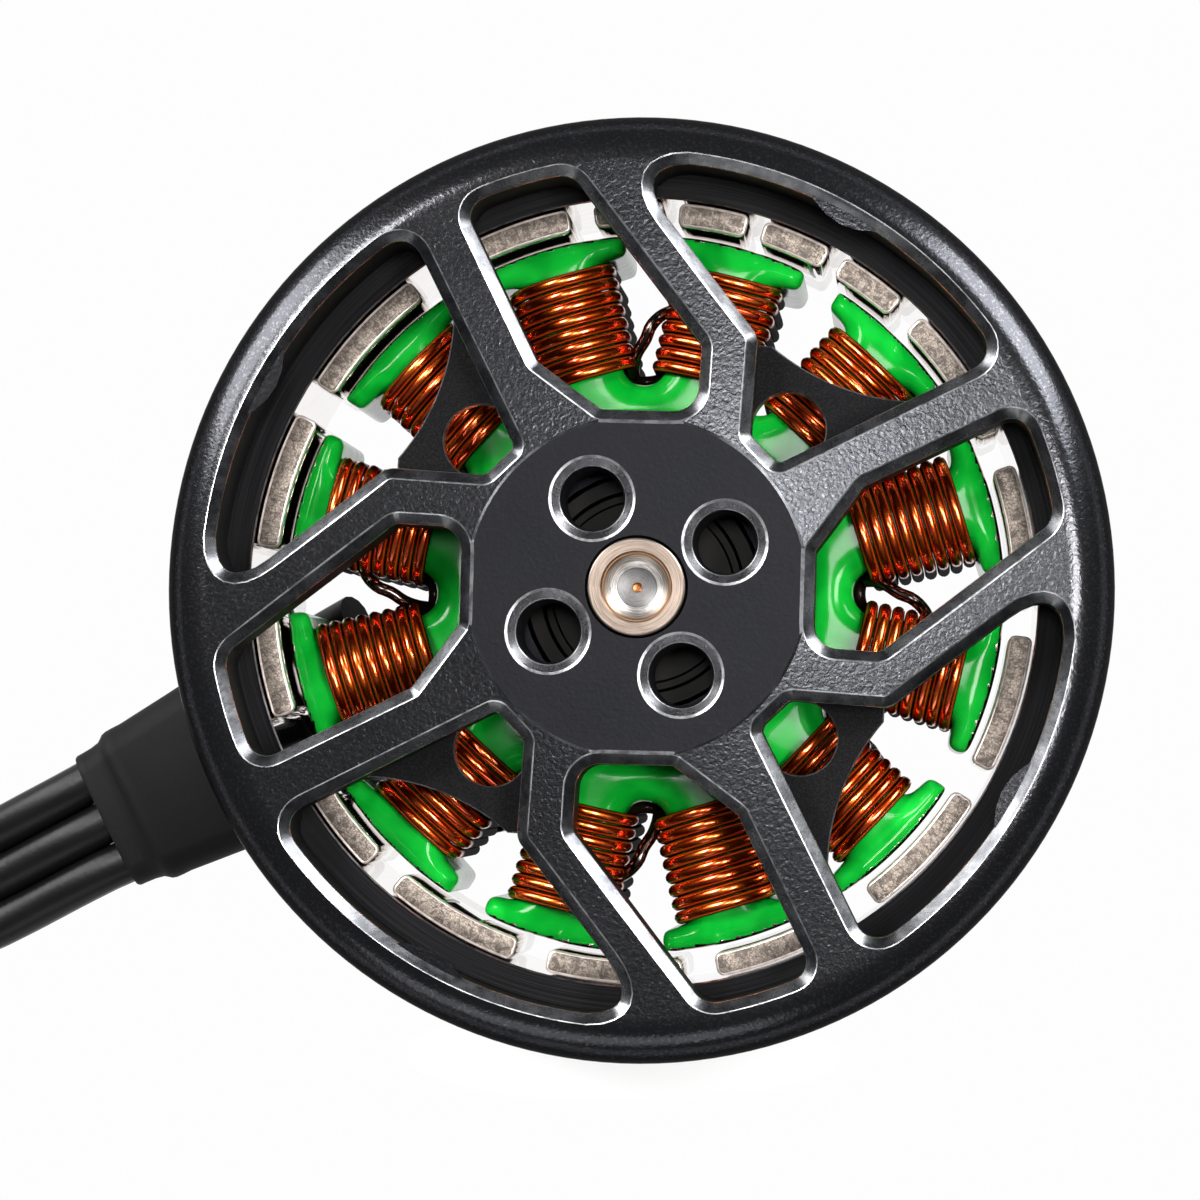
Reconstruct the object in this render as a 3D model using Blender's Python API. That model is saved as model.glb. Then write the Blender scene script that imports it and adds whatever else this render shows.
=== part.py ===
"""Brushless outrunner motor for a drone: a spoked bell with magnets turning round a wound stator.

Units are metres, +Z is up. The origin is the centre of the base's mounting face, on the shaft's axis.
"""

import math

import bmesh
import bpy
from mathutils import Matrix, Vector

MM = 0.001

# Heights, from the mounting face up
BASE_THICKNESS = 3.0 * MM
ARM_THICKNESS = 2.8 * MM
COLLAR_HEIGHT = 3.9 * MM
SEAT_GAP = 0.3 * MM
CORE_HEIGHT = 10.6 * MM
RING_ABOVE_CORE = 1.7 * MM
RING_BELOW_CORE = 0.4 * MM
MAGNET_ABOVE_CORE = 1.4 * MM
MAGNET_BELOW_CORE = 0.1 * MM
SKIRT_BELOW_RING = 0.8 * MM
HEAD_ROOM = 2.14 * MM
SPOKE_DEPTH = 4.0 * MM

# Bell, from the outside in
BELL_RADIUS = 21.75 * MM
RIM_FILLET = 2.2 * MM
SKIRT_WALL = 1.85 * MM
SHOULDER_WIDTH = 1.0 * MM
RIM_WIDTH_PLAIN = 2.05 * MM
RIM_WIDTH_WEBBED = 1.75 * MM
RIM_DROP = 0.6 * MM
HUB_RADIUS = 7.7 * MM
HUB_STEP = 0.12 * MM
HUB_DEPTH = 4.6 * MM
BOSS_RADIUS = 3.1 * MM
CHAMFER_SHARE = 0.0356
CHAMFER_RUN_OUT = 0.6
BELL_STEPS = 56

# The two kinds of cut-out. Corners on the rim are azimuths in degrees, and the others are places
# between the hub's edge and the bell's, as a share of that span, with azimuths. The last number of
# each is its corner radius, a share of the span too.
QUARTERS = 4
PLAIN_RIM_CORNERS = ((116.0, 0.0996), (98.2, 0.1068))
PLAIN_CORNERS = (
    (0.2861, 72.9, 0.0712),
    (0.032, 66.9, 0.1139),
    (0.0107, 103.3, 0.0498),
    (0.2463, 116.3, 0.0641),
)
WEBBED_RIM_CORNERS = ((94.4, 0.1423), (31.0, 0.1139))
WEBBED_CORNERS = (
    (0.0242, 38.4, 0.0569),
    (0.0356, 55.4, 0.0569),
    (0.3317, 66.1, 0.0356),
)
RIM_STEP = 7.0
CORNER_STEP = 40.0

# Web in the webbed cut-outs: its outer edge is hollow, an arc about a centre outside it. Its reach,
# its arc and its hole are shares of the same span.
WEB_BELOW_TOP = 3.2 * MM
WEB_THICKNESS = 1.1 * MM
WEB_REACH = 0.3488
WEB_ARC = 0.7473
WEB_ARC_AZIMUTH = 55.8
WEB_ARC_ENDS = (229.0, 275.5)
WEB_LAP = 0.8 * MM
WEB_HOLE = 0.121
WEB_HOLE_EDGE = 0.0463
WEB_HOLE_AZIMUTH = 47.0

# Propeller screw holes
PROP_HOLE_CIRCLE = 4.5 * MM
PROP_HOLE_AZIMUTH = 26.65
PROP_HOLE_RADIUS = 1.5 * MM
PROP_HOLE_CHAMFER = 0.35 * MM

# Flux ring, magnets and air gap
GLUE_GAP = 0.1 * MM
RING_WALL = 1.5 * MM
MAGNET_THICKNESS = 1.1 * MM
AIR_GAP = 0.3 * MM
POLES = 14
FIRST_POLE_GAP = 355.7
MAGNET_SPAN = 20.7
HALF_MAGNET_SPAN = 10.5
SPLIT_POLES = (2, 3)
MAGNET_CORNER = 0.35 * MM

# Stator core, coat included. A tooth's share is of its pitch on the yoke, and the other shares are
# of the core's width from its bore to its teeth's ends.
TEETH = 12
FIRST_TOOTH = 15.0
CORE_BORE_GAP = 0.15 * MM
YOKE_SHARE = 0.2324
TOOTH_SHARE = 0.67
SHOE_SHARE = 0.1351
SHOE_TIP_SHARE = 0.1
SHOE_GAP = 5.8

# Windings. A coil has as many turns as its tooth has room for, and its wire ends 3/8 of a turn short.
WIRE_DIAMETER = 0.61 * MM
TURN_GAP = 0.02 * MM
TURN_LEFT = 3 / 8
WIRE_TO_COAT = 0.1 * MM
WINDING_INSET = 0.3 * MM
WINDING_SPREAD = 0.2 * MM
WINDING_ARCH = 0.35 * MM
WINDING_CORNER = 0.85 * MM

# Base
BASE_RADIUS = 9.7 * MM
BASE_EDGE = 0.4 * MM
COLLAR_RADIUS = 8.6 * MM
TUBE_RADIUS = 7.4 * MM
TUBE_ABOVE_CORE = 1.4 * MM
ARM_CIRCLE = 12.5 * MM
ARM_WIDTH = 5.2 * MM
ARM_FIRST = 45.0
MOUNT_HOLE_RADIUS = 1.55 * MM

# Shaft and bearings
SHAFT_RADIUS = 2.0 * MM
HEAD_RADIUS = 2.22 * MM
HEAD_GAP = 0.13 * MM
HEAD_LENGTH = 4.0 * MM
HEAD_PROUD = 0.1 * MM
HEAD_EDGE = 0.1 * MM
RECESS_RADIUS = 1.6 * MM
RECESS_STEP = 0.25 * MM
CONE_RADIUS = 0.9 * MM
CONE_DEPTH = 0.7 * MM
CENTRE_HOLE_RADIUS = 0.2 * MM
CENTRE_HOLE_DEPTH = 0.5 * MM
SHAFT_FOOT = 0.6 * MM
SHAFT_END_CHAMFER = 0.25 * MM
RACE_GAP = 0.05 * MM
INNER_RACE_WALL = 0.8 * MM
OUTER_RACE_WALL = 0.8 * MM
BEARING_RADIUS = 5.5 * MM
BEARING_WIDTH = 4.0 * MM
BEARING_SEAT_GAP = 0.1 * MM
LOWER_BEARING_Z = 2.4 * MM
UPPER_BEARING_SINK = 0.3 * MM
BALLS = 7
BALL_RUNNING_GAP = 0.1 * MM
CAGE_WALL = 0.35 * MM
CAGE_WIDTH = 1.3 * MM
SHIM_WALL = 0.85 * MM
SHIM_THICKNESS = 0.3 * MM
SHIM_GAP = 0.1 * MM
CLIP_THICKNESS = 0.4 * MM
CLIP_WALL = 0.9 * MM
CLIP_OPENING = 70.0
GROOVE_DEPTH = 0.35 * MM
GROOVE_PLAY = 0.1 * MM

# Leads and the sleeve round them. Each row of the route is one place of the middle lead: how far out
# along the exit, how far to its side, how high, and how far the outer leads lie from it there.
EXIT_AZIMUTH = 206.6
EXIT_SIDE = 2.7 * MM
LEAD_RADIUS = 1.05 * MM
LEAD_STEP = 4.0 * MM
LEAD_LENGTH = 82.0 * MM
LEAD_ROUTE = (
    (13.6, 0.0, 5.0, 3.4),
    (15.0, 0.0, 4.2, 3.4),
    (16.4, 0.0, 3.2, 3.4),
    (17.6, 0.0, 3.0, 3.4),
    (20.0, 0.0, 3.0, 3.2),
    (24.0, 0.0, 3.0, 2.8),
    (29.4, 0.0, 3.0, 2.26),
    (30.6, 0.0, 2.92, 2.2),
    (32.6, 0.0, 2.5, 2.2),
    (35.0, 0.0, 1.75, 2.2),
    (37.4, 0.1, 1.2, 2.22),
    (40.6, 0.5, 1.07, 2.35),
    (44.0, 1.6, 1.07, 2.5),
    (47.3, 3.6, 1.07, 2.65),
    (50.2, 6.4, 1.07, 2.8),
    (52.3, 9.8, 1.07, 2.9),
    (53.6, 13.6, 1.07, 3.0),
    (54.0, 17.6, 1.07, 3.1),
    (53.4, 21.6, 1.07, 3.3),
    (52.0, 25.4, 1.07, 3.5),
    (49.8, 29.0, 1.07, 3.8),
    (47.2, 32.1, 1.07, 4.1),
    (44.2, 34.9, 1.07, 4.4),
    (41.0, 37.4, 1.07, 4.7),
    (37.6, 39.5, 1.07, 5.0),
    (34.0, 41.0, 1.07, 5.2),
    (30.2, 42.0, 1.07, 5.4),
)
SLEEVE_START = 18.2 * MM
SLEEVE_END = 29.4 * MM
SLEEVE_WALL = 0.4 * MM
SLEEVE_LIP = 1.2 * MM
SLEEVE_LIP_STEP = 0.18 * MM
SLEEVE_PLAY = 0.08 * MM
SLEEVE_HEIGHT = 3.0 * MM
TIP_RADIUS = 0.75 * MM
TIP_LENGTH = 4.0 * MM
TIP_GAP = 0.3 * MM

# Places worked out from the sizes above
CORE_BOTTOM = BASE_THICKNESS + COLLAR_HEIGHT + SEAT_GAP
CORE_TOP = CORE_BOTTOM + CORE_HEIGHT
SKIRT_BORE = BELL_RADIUS - SKIRT_WALL
RING_OUTER = SKIRT_BORE - GLUE_GAP
RING_INNER = RING_OUTER - RING_WALL
RING_BOTTOM = CORE_BOTTOM - RING_BELOW_CORE
RING_TOP = CORE_TOP + RING_ABOVE_CORE
MAGNET_OUTER = RING_INNER - GLUE_GAP
MAGNET_INNER = MAGNET_OUTER - MAGNET_THICKNESS
STATOR_RADIUS = MAGNET_INNER - AIR_GAP
CORE_BORE = TUBE_RADIUS + CORE_BORE_GAP
CORE_WIDTH = STATOR_RADIUS - CORE_BORE
YOKE_RADIUS = CORE_BORE + YOKE_SHARE * CORE_WIDTH
TOOTH_WIDTH = TOOTH_SHARE * 2 * math.pi * YOKE_RADIUS / TEETH
SHOE_TIP = SHOE_TIP_SHARE * CORE_WIDTH
SHOE_INNER = STATOR_RADIUS - SHOE_SHARE * CORE_WIDTH
SHOE_TIP_FILLET = SHOE_TIP / 3
COAT_EDGE = SHOE_TIP / 3
SPOKE_SPAN = BELL_RADIUS - HUB_RADIUS
CHAMFER = CHAMFER_SHARE * SPOKE_SPAN
SLOT_FLOOR_PITCH = (YOKE_RADIUS - TOOTH_WIDTH / 2) / (1 - math.sin(math.pi / TEETH))
SLOT_FLOOR_RADIUS = SLOT_FLOOR_PITCH - YOKE_RADIUS
WINDING_START = YOKE_RADIUS + WINDING_INSET
WINDING_END = SHOE_INNER - WIRE_TO_COAT
WINDING_ROOM = WINDING_END - WINDING_START + TURN_GAP
TURNS = math.floor(WINDING_ROOM / (WIRE_DIAMETER + TURN_GAP) - 1 + TURN_LEFT)
LAST_TURN = TURNS - TURN_LEFT
WIRE_PITCH = WINDING_ROOM / (LAST_TURN + 1)
WINDING_TOP = CORE_TOP + WIRE_TO_COAT + WINDING_ARCH + WIRE_DIAMETER
SPOKE_BOTTOM = WINDING_TOP + HEAD_ROOM
BELL_TOP = SPOKE_BOTTOM + SPOKE_DEPTH
SKIRT_BOTTOM = RING_BOTTOM - SKIRT_BELOW_RING
SHOULDER_BOTTOM = RING_TOP + SEAT_GAP
SHAFT_BORE = HEAD_RADIUS + HEAD_GAP
TUBE_TOP = CORE_TOP + TUBE_ABOVE_CORE
UPPER_BEARING_Z = TUBE_TOP - UPPER_BEARING_SINK - BEARING_WIDTH
BALL_RADIUS = (
    BEARING_RADIUS - OUTER_RACE_WALL - SHAFT_RADIUS - RACE_GAP - INNER_RACE_WALL
) / 2 - BALL_RUNNING_GAP
BALL_CIRCLE = BEARING_RADIUS - OUTER_RACE_WALL - BALL_RUNNING_GAP - BALL_RADIUS


def polar(radius, azimuth):
    """The point at a distance from the axis and an azimuth in degrees."""
    angle = math.radians(azimuth)
    return Vector((radius * math.cos(angle), radius * math.sin(angle)))


def material(name, colour, roughness, metallic):
    made = bpy.data.materials.new(name)
    made.use_nodes = True
    shader = made.node_tree.nodes["Principled BSDF"]
    shader.inputs["Base Color"].default_value = (*colour, 1.0)
    shader.inputs["Roughness"].default_value = roughness
    shader.inputs["Metallic"].default_value = metallic
    made.diffuse_color = (*colour, 1.0)
    return made


def add_object(name, shape, finish, parent=None, smooth_below=32.0):
    """Turns a bmesh into an object with one material, shaded smooth below an angle."""
    bmesh.ops.recalc_face_normals(shape, faces=shape.faces)
    mesh = bpy.data.meshes.new(name)
    shape.to_mesh(mesh)
    shape.free()
    mesh.shade_smooth()
    mesh.set_sharp_from_angle(angle=math.radians(smooth_below))
    made = bpy.data.objects.new(name, mesh)
    if finish:
        mesh.materials.append(finish)
    bpy.context.scene.collection.objects.link(made)
    made.parent = parent
    return made


def add_cutter(name, shape):
    made = add_object(name, shape, None)
    made.hide_render = True
    made.display_type = "WIRE"
    return made


def boolean(target, tool, operation):
    step = target.modifiers.new(tool.name, "BOOLEAN")
    step.operation = operation
    step.solver = "EXACT"
    step.object = tool


def turned(profile, steps):
    """A solid of revolution from a closed outline of radius and height."""
    shape = bmesh.new()
    points = [shape.verts.new((radius, 0.0, height)) for radius, height in profile]
    edges = [
        shape.edges.new((points[i - 1], points[i]))
        for i in range(len(points))
        if profile[i - 1][0] > 0 or profile[i][0] > 0
    ]
    bmesh.ops.spin(
        shape,
        geom=points + edges,
        cent=(0, 0, 0),
        axis=(0, 0, 1),
        angle=2 * math.pi,
        steps=steps,
        use_merge=True,
    )
    bmesh.ops.remove_doubles(shape, verts=shape.verts, dist=0.5e-6)
    return shape


def add_prism(shape, outline, bottom, top):
    """Adds a straight prism between two heights to a bmesh."""
    ring = [shape.verts.new((point[0], point[1], bottom)) for point in outline]
    floor = shape.faces.new(ring)
    lifted = bmesh.ops.extrude_face_region(shape, geom=[floor])["geom"]
    moved = [item for item in lifted if isinstance(item, bmesh.types.BMVert)]
    bmesh.ops.translate(shape, verts=moved, vec=(0, 0, top - bottom))
    return moved


def prism(outline, bottom, top):
    shape = bmesh.new()
    add_prism(shape, outline, bottom, top)
    return shape


def add_loft(shape, rings, capped=True):
    """Adds the walls between rings of points, then two end faces or a last wall back to the first."""
    made = [[shape.verts.new(point) for point in ring] for ring in rings]
    if capped:
        shape.faces.new(made[0])
        shape.faces.new(made[-1])
    else:
        made.append(made[0])
    for low, high in zip(made, made[1:]):
        for i in range(len(low)):
            shape.faces.new((low[i - 1], low[i], high[i], high[i - 1]))


def circle(radius, steps, centre=(0.0, 0.0)):
    return [
        Vector(centre) + polar(radius, 360.0 * step / steps) for step in range(steps)
    ]


def arc(radius, first, last, steps):
    """Points on an arc about the axis, both ends included."""
    return [
        polar(radius, first + (last - first) * step / steps)
        for step in range(steps + 1)
    ]


def rounded(corners, turn_step):
    """An outline whose corners (point, radius) are rounded by arcs that touch both sides.

    The arcs have a point about every turn_step degrees.
    """
    outline = []
    for i, (corner, radius) in enumerate(corners):
        if radius == 0:
            outline.append(corner)
            continue
        back = (corners[i - 1][0] - corner).normalized()
        ahead = (corners[(i + 1) % len(corners)][0] - corner).normalized()
        half = back.angle(ahead) / 2
        reach = radius / math.tan(half)
        centre = corner + (back + ahead).normalized() * radius / math.sin(half)
        first = corner + back * reach - centre
        turn = first.angle_signed(corner + ahead * reach - centre)
        steps = max(1, round(math.degrees(abs(turn)) / turn_step))
        for step in range(steps + 1):
            outline.append(centre + Matrix.Rotation(-turn * step / steps, 2) @ first)
    return outline


def inward(outline):
    """The direction into the outline at each of its points, scaled to keep a straight offset's width."""
    area = sum(a.cross(b) for a, b in zip(outline, outline[1:] + outline[:1], strict=True))
    side = 1 if area > 0 else -1
    found = []
    for i, point in enumerate(outline):
        before = (point - outline[i - 1]).normalized()
        after = (outline[(i + 1) % len(outline)] - point).normalized()
        normal = side * (before.orthogonal() + after.orthogonal())
        normal.normalize()
        found.append(normal / max(0.5, normal.dot(side * before.orthogonal())))
    return found


def top_height(radius):
    """The height of the bell's top face: flat hub, gentle cone, rounded rim."""
    if radius <= HUB_RADIUS:
        return BELL_TOP
    fillet_start = BELL_RADIUS - RIM_FILLET
    slope = RIM_DROP / (fillet_start - HUB_RADIUS)
    if radius <= fillet_start:
        return BELL_TOP - HUB_STEP - slope * (radius - HUB_RADIUS)
    into = min(radius - fillet_start, RIM_FILLET)
    return BELL_TOP - HUB_STEP - RIM_DROP - RIM_FILLET + math.sqrt(RIM_FILLET**2 - into**2)


def bell_profile():
    fillet_start = BELL_RADIUS - RIM_FILLET
    fillet_steps = 4
    outside = [(0.0, BELL_TOP), (HUB_RADIUS, BELL_TOP)]
    outside.append((HUB_RADIUS + HUB_STEP, BELL_TOP - HUB_STEP))
    for step in range(fillet_steps + 1):
        angle = math.pi / 2 * step / fillet_steps
        radius = fillet_start + RIM_FILLET * math.sin(angle)
        height = BELL_TOP - HUB_STEP - RIM_DROP - RIM_FILLET * (1 - math.cos(angle))
        outside.append((radius, height))
    shoulder_inner = SKIRT_BORE - SHOULDER_WIDTH
    inside = [
        (BELL_RADIUS, SKIRT_BOTTOM + CHAMFER / 2),
        (BELL_RADIUS - CHAMFER / 2, SKIRT_BOTTOM),
        (SKIRT_BORE, SKIRT_BOTTOM),
        (SKIRT_BORE, SHOULDER_BOTTOM),
        (shoulder_inner, SHOULDER_BOTTOM),
        (shoulder_inner, SPOKE_BOTTOM),
        (HUB_RADIUS, SPOKE_BOTTOM),
        (HUB_RADIUS, BELL_TOP - HUB_DEPTH),
        (BOSS_RADIUS, BELL_TOP - HUB_DEPTH),
        (BOSS_RADIUS, UPPER_BEARING_Z + BEARING_WIDTH + SHIM_THICKNESS + 2 * SHIM_GAP),
        (0.0, UPPER_BEARING_Z + BEARING_WIDTH + SHIM_THICKNESS + 2 * SHIM_GAP),
    ]
    return outside + inside


def clear_azimuth(rim, azimuth, fillet, neighbour, side):
    """Where the rim's plain stretch starts, just past the fillet of the corner at an azimuth."""
    corner = polar(rim, azimuth)
    along = side * polar(1.0, azimuth + 90.0)
    reach = fillet / math.tan(along.angle(neighbour - corner) / 2)
    return azimuth + side * (math.degrees(reach / rim) + RIM_STEP / 3)


def opening_outline(rim_width, rim_corners, corners):
    """A cut-out's edge on the bell's top face. Its outer side follows the rim between two corners."""
    rim = BELL_RADIUS - rim_width
    placed = [
        (polar(HUB_RADIUS + share * SPOKE_SPAN, azimuth), fillet * SPOKE_SPAN)
        for share, azimuth, fillet in corners
    ]
    (first, first_fillet), (last, last_fillet) = [
        (azimuth, fillet * SPOKE_SPAN) for azimuth, fillet in rim_corners
    ]
    start = clear_azimuth(rim, first, first_fillet, placed[-1][0], -1)
    end = clear_azimuth(rim, last, last_fillet, placed[0][0], 1)
    steps = max(1, round((start - end) / RIM_STEP))
    between = [(point, 0) for point in arc(rim, start, end, steps)]
    rim_ends = [(polar(rim, first), first_fillet), (polar(rim, last), last_fillet)]
    return rounded([rim_ends[0], *between, rim_ends[1], *placed], CORNER_STEP)


def add_opening(shape, outline, quarter):
    """Adds a cut-out's cutter: straight walls, then a chamfer that follows the top face."""
    turn = Matrix.Rotation(math.radians(90.0 * quarter), 3, "Z")
    normals = inward(outline)
    rings = []
    for into, rise, level in (
        (1, 0, RING_TOP),
        (1, -1, None),
        (-CHAMFER_RUN_OUT, CHAMFER_RUN_OUT, None),
        (-CHAMFER_RUN_OUT, 0, BELL_TOP + CHAMFER),
    ):
        ring = []
        for point, normal in zip(outline, normals, strict=True):
            place = point + normal * CHAMFER * into
            height = level or top_height(point.length) + rise * CHAMFER
            ring.append(turn @ Vector((place.x, place.y, height)))
        rings.append(ring)
    add_loft(shape, rings)


def web_outline():
    """The web between a bent spoke and a straight one, run into the spokes and the hub."""
    arc_radius = WEB_ARC * SPOKE_SPAN
    centre = polar(HUB_RADIUS + WEB_REACH * SPOKE_SPAN + arc_radius, WEB_ARC_AZIMUTH)
    edge = [centre + point for point in arc(arc_radius, *WEB_ARC_ENDS, 8)]
    foot, root, bend = [
        polar(HUB_RADIUS + share * SPOKE_SPAN, azimuth) for share, azimuth, _ in WEBBED_CORNERS
    ]
    straight = (polar(BELL_RADIUS, WEBBED_RIM_CORNERS[1][0]) - foot).normalized()
    aside = Vector((straight.y, -straight.x)) * WEB_LAP
    return [
        *edge,
        edge[-1] + aside,
        foot + aside,
        polar(HUB_RADIUS - WEB_LAP, (WEBBED_CORNERS[0][1] + WEBBED_CORNERS[1][1]) / 2),
        root + Vector((-WEB_LAP, 0)),
        bend + Vector((-WEB_LAP, 0)),
    ]


def turned_outline(outline, azimuth):
    turn = Matrix.Rotation(math.radians(azimuth), 2)
    return [turn @ Vector(point) for point in outline]


def make_bell(finish, parent):
    """The bell: a turned blank, eight chamfered cut-outs, four webs, and the screw holes."""
    bell = add_object("bell", turned(bell_profile(), BELL_STEPS), finish, parent)

    openings = bmesh.new()
    plain = opening_outline(RIM_WIDTH_PLAIN, PLAIN_RIM_CORNERS, PLAIN_CORNERS)
    webbed = opening_outline(RIM_WIDTH_WEBBED, WEBBED_RIM_CORNERS, WEBBED_CORNERS)
    for quarter in range(QUARTERS):
        add_opening(openings, plain, quarter)
        add_opening(openings, webbed, quarter)
    boolean(bell, add_cutter("bell_openings", openings), "DIFFERENCE")

    webs = bmesh.new()
    web_top = BELL_TOP - WEB_BELOW_TOP
    for quarter in range(QUARTERS):
        outline = turned_outline(web_outline(), 90.0 * quarter)
        add_prism(webs, outline, web_top - WEB_THICKNESS, web_top)
    boolean(bell, add_cutter("bell_webs", webs), "UNION")

    holes = prism(circle(SHAFT_BORE, 24), UPPER_BEARING_Z, 2 * BELL_TOP)
    hole = WEB_HOLE * SPOKE_SPAN
    hole_circle = HUB_RADIUS + WEB_HOLE_EDGE * SPOKE_SPAN + hole
    for quarter in range(QUARTERS):
        outline = circle(hole, 16, polar(hole_circle, WEB_HOLE_AZIMUTH + 90.0 * quarter))
        add_prism(holes, outline, web_top - 2 * WEB_THICKNESS, web_top + WEB_THICKNESS)
        add_prop_hole(holes, polar(PROP_HOLE_CIRCLE, PROP_HOLE_AZIMUTH + 90.0 * quarter))
    boolean(bell, add_cutter("bell_holes", holes), "DIFFERENCE")
    return bell


def add_prop_hole(shape, centre):
    """Adds the cutter of one screw hole: a straight hole with a chamfered mouth."""
    levels = (
        (PROP_HOLE_RADIUS, BELL_TOP - HUB_DEPTH - CHAMFER),
        (PROP_HOLE_RADIUS, BELL_TOP - PROP_HOLE_CHAMFER),
        (PROP_HOLE_RADIUS + 2 * PROP_HOLE_CHAMFER, BELL_TOP + PROP_HOLE_CHAMFER),
    )
    rings = [
        [(point.x, point.y, height) for point in circle(radius, 16, centre)]
        for radius, height in levels
    ]
    add_loft(shape, rings)


def make_ring(name, inner, outer, bottom, top, steps, finish, parent):
    """A plain turned ring, used for the flux ring, the races and the shims."""
    profile = [(outer, top), (outer, bottom), (inner, bottom), (inner, top)]
    return add_object(name, turned(profile, steps), finish, parent)


def magnet_outline(centre, span):
    """One arc magnet seen from above, with rounded corners."""
    steps = max(2, round(span / 5))
    half = span / 2
    far = arc(MAGNET_OUTER, centre - half, centre + half, steps)
    near = arc(MAGNET_INNER, centre + half, centre - half, steps)
    corners = []
    for side in (far, near):
        for i, point in enumerate(side):
            at_end = i in (0, len(side) - 1)
            corners.append((point, MAGNET_CORNER if at_end else 0))
    return rounded(corners, 90.0)


def magnet_places():
    """The centre and span of each magnet. Most poles are one magnet, and two are a pair of halves."""
    pitch = 360.0 / POLES
    places = []
    for pole in range(POLES):
        start = FIRST_POLE_GAP + pitch * pole
        if pole in SPLIT_POLES:
            places.append((start + pitch / 4, HALF_MAGNET_SPAN))
            places.append((start + 3 * pitch / 4, HALF_MAGNET_SPAN))
        else:
            places.append((start + pitch / 2, MAGNET_SPAN))
    return places


def make_magnets(finish, parent):
    bottom = CORE_BOTTOM - MAGNET_BELOW_CORE
    top = CORE_TOP + MAGNET_ABOVE_CORE
    for number, (centre, span) in enumerate(magnet_places(), 1):
        shape = prism(magnet_outline(centre, span), bottom, top)
        add_object(f"magnet_{number:02d}", shape, finish, parent)


def shaft_profile():
    """The shaft: journal, retaining ring groove, head, and a stepped countersink with a centre hole."""
    top = BELL_TOP + HEAD_PROUD
    clip_low, clip_high = clip_heights()
    groove = SHAFT_RADIUS - GROOVE_DEPTH
    recess = top - RECESS_STEP
    cone = recess - CONE_DEPTH
    return [
        (0.0, cone - CENTRE_HOLE_DEPTH),
        (CENTRE_HOLE_RADIUS, cone - CENTRE_HOLE_DEPTH),
        (CENTRE_HOLE_RADIUS, cone),
        (CONE_RADIUS, cone),
        (RECESS_RADIUS - HEAD_EDGE, recess),
        (RECESS_RADIUS, top),
        (HEAD_RADIUS - HEAD_EDGE, top),
        (HEAD_RADIUS, top - HEAD_EDGE),
        (HEAD_RADIUS, BELL_TOP - HEAD_LENGTH),
        (SHAFT_RADIUS, BELL_TOP - HEAD_LENGTH),
        (SHAFT_RADIUS, clip_high + GROOVE_PLAY),
        (groove, clip_high + GROOVE_PLAY),
        (groove, clip_low - GROOVE_PLAY),
        (SHAFT_RADIUS, clip_low - GROOVE_PLAY),
        (SHAFT_RADIUS, SHAFT_FOOT + SHAFT_END_CHAMFER),
        (SHAFT_RADIUS - SHAFT_END_CHAMFER, SHAFT_FOOT),
        (0.0, SHAFT_FOOT),
    ]


def lower_shim_bottom():
    return LOWER_BEARING_Z - SHIM_GAP - SHIM_THICKNESS


def clip_heights():
    """The heights of the retaining ring's two faces, just under the lower shim."""
    high = lower_shim_bottom() - SHIM_GAP
    return high - CLIP_THICKNESS, high


def make_clip(finish, parent):
    """The open retaining ring in the shaft's groove."""
    low, high = clip_heights()
    inner = SHAFT_RADIUS - GROOVE_DEPTH + GROOVE_PLAY
    outer = inner + CLIP_WALL
    half = CLIP_OPENING / 2
    outline = arc(outer, half, 360.0 - half, 12) + arc(inner, 360.0 - half, half, 12)
    add_object("retaining_ring", prism(outline, low, high), finish, parent)


def make_bearing(name, bottom, finishes, rotor, stator, cage_parent):
    """A ball bearing: inner race with the shaft, outer race in the base, and its ball cage."""
    steel, cage = finishes
    top = bottom + BEARING_WIDTH
    inner = SHAFT_RADIUS + RACE_GAP
    outer = BEARING_RADIUS - OUTER_RACE_WALL
    make_ring(f"{name}_inner_race", inner, inner + INNER_RACE_WALL, bottom, top, 16, steel, rotor)
    make_ring(f"{name}_outer_race", outer, BEARING_RADIUS, bottom, top, 20, steel, stator)

    middle = bottom + BEARING_WIDTH / 2
    profile = [
        (BALL_CIRCLE + CAGE_WALL / 2, middle + CAGE_WIDTH / 2),
        (BALL_CIRCLE + CAGE_WALL / 2, middle - CAGE_WIDTH / 2),
        (BALL_CIRCLE - CAGE_WALL / 2, middle - CAGE_WIDTH / 2),
        (BALL_CIRCLE - CAGE_WALL / 2, middle + CAGE_WIDTH / 2),
    ]
    ring = add_object(f"{name}_ball_cage", turned(profile, 2 * BALLS), cage, cage_parent)
    balls = bmesh.new()
    for number in range(BALLS):
        place = polar(BALL_CIRCLE, 360.0 * (number + 0.25) / BALLS)
        bmesh.ops.create_uvsphere(
            balls,
            u_segments=6,
            v_segments=3,
            radius=BALL_RADIUS,
            matrix=Matrix.Translation((place.x, place.y, middle)),
        )
    boolean(ring, add_cutter(f"{name}_balls", balls), "UNION")


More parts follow.
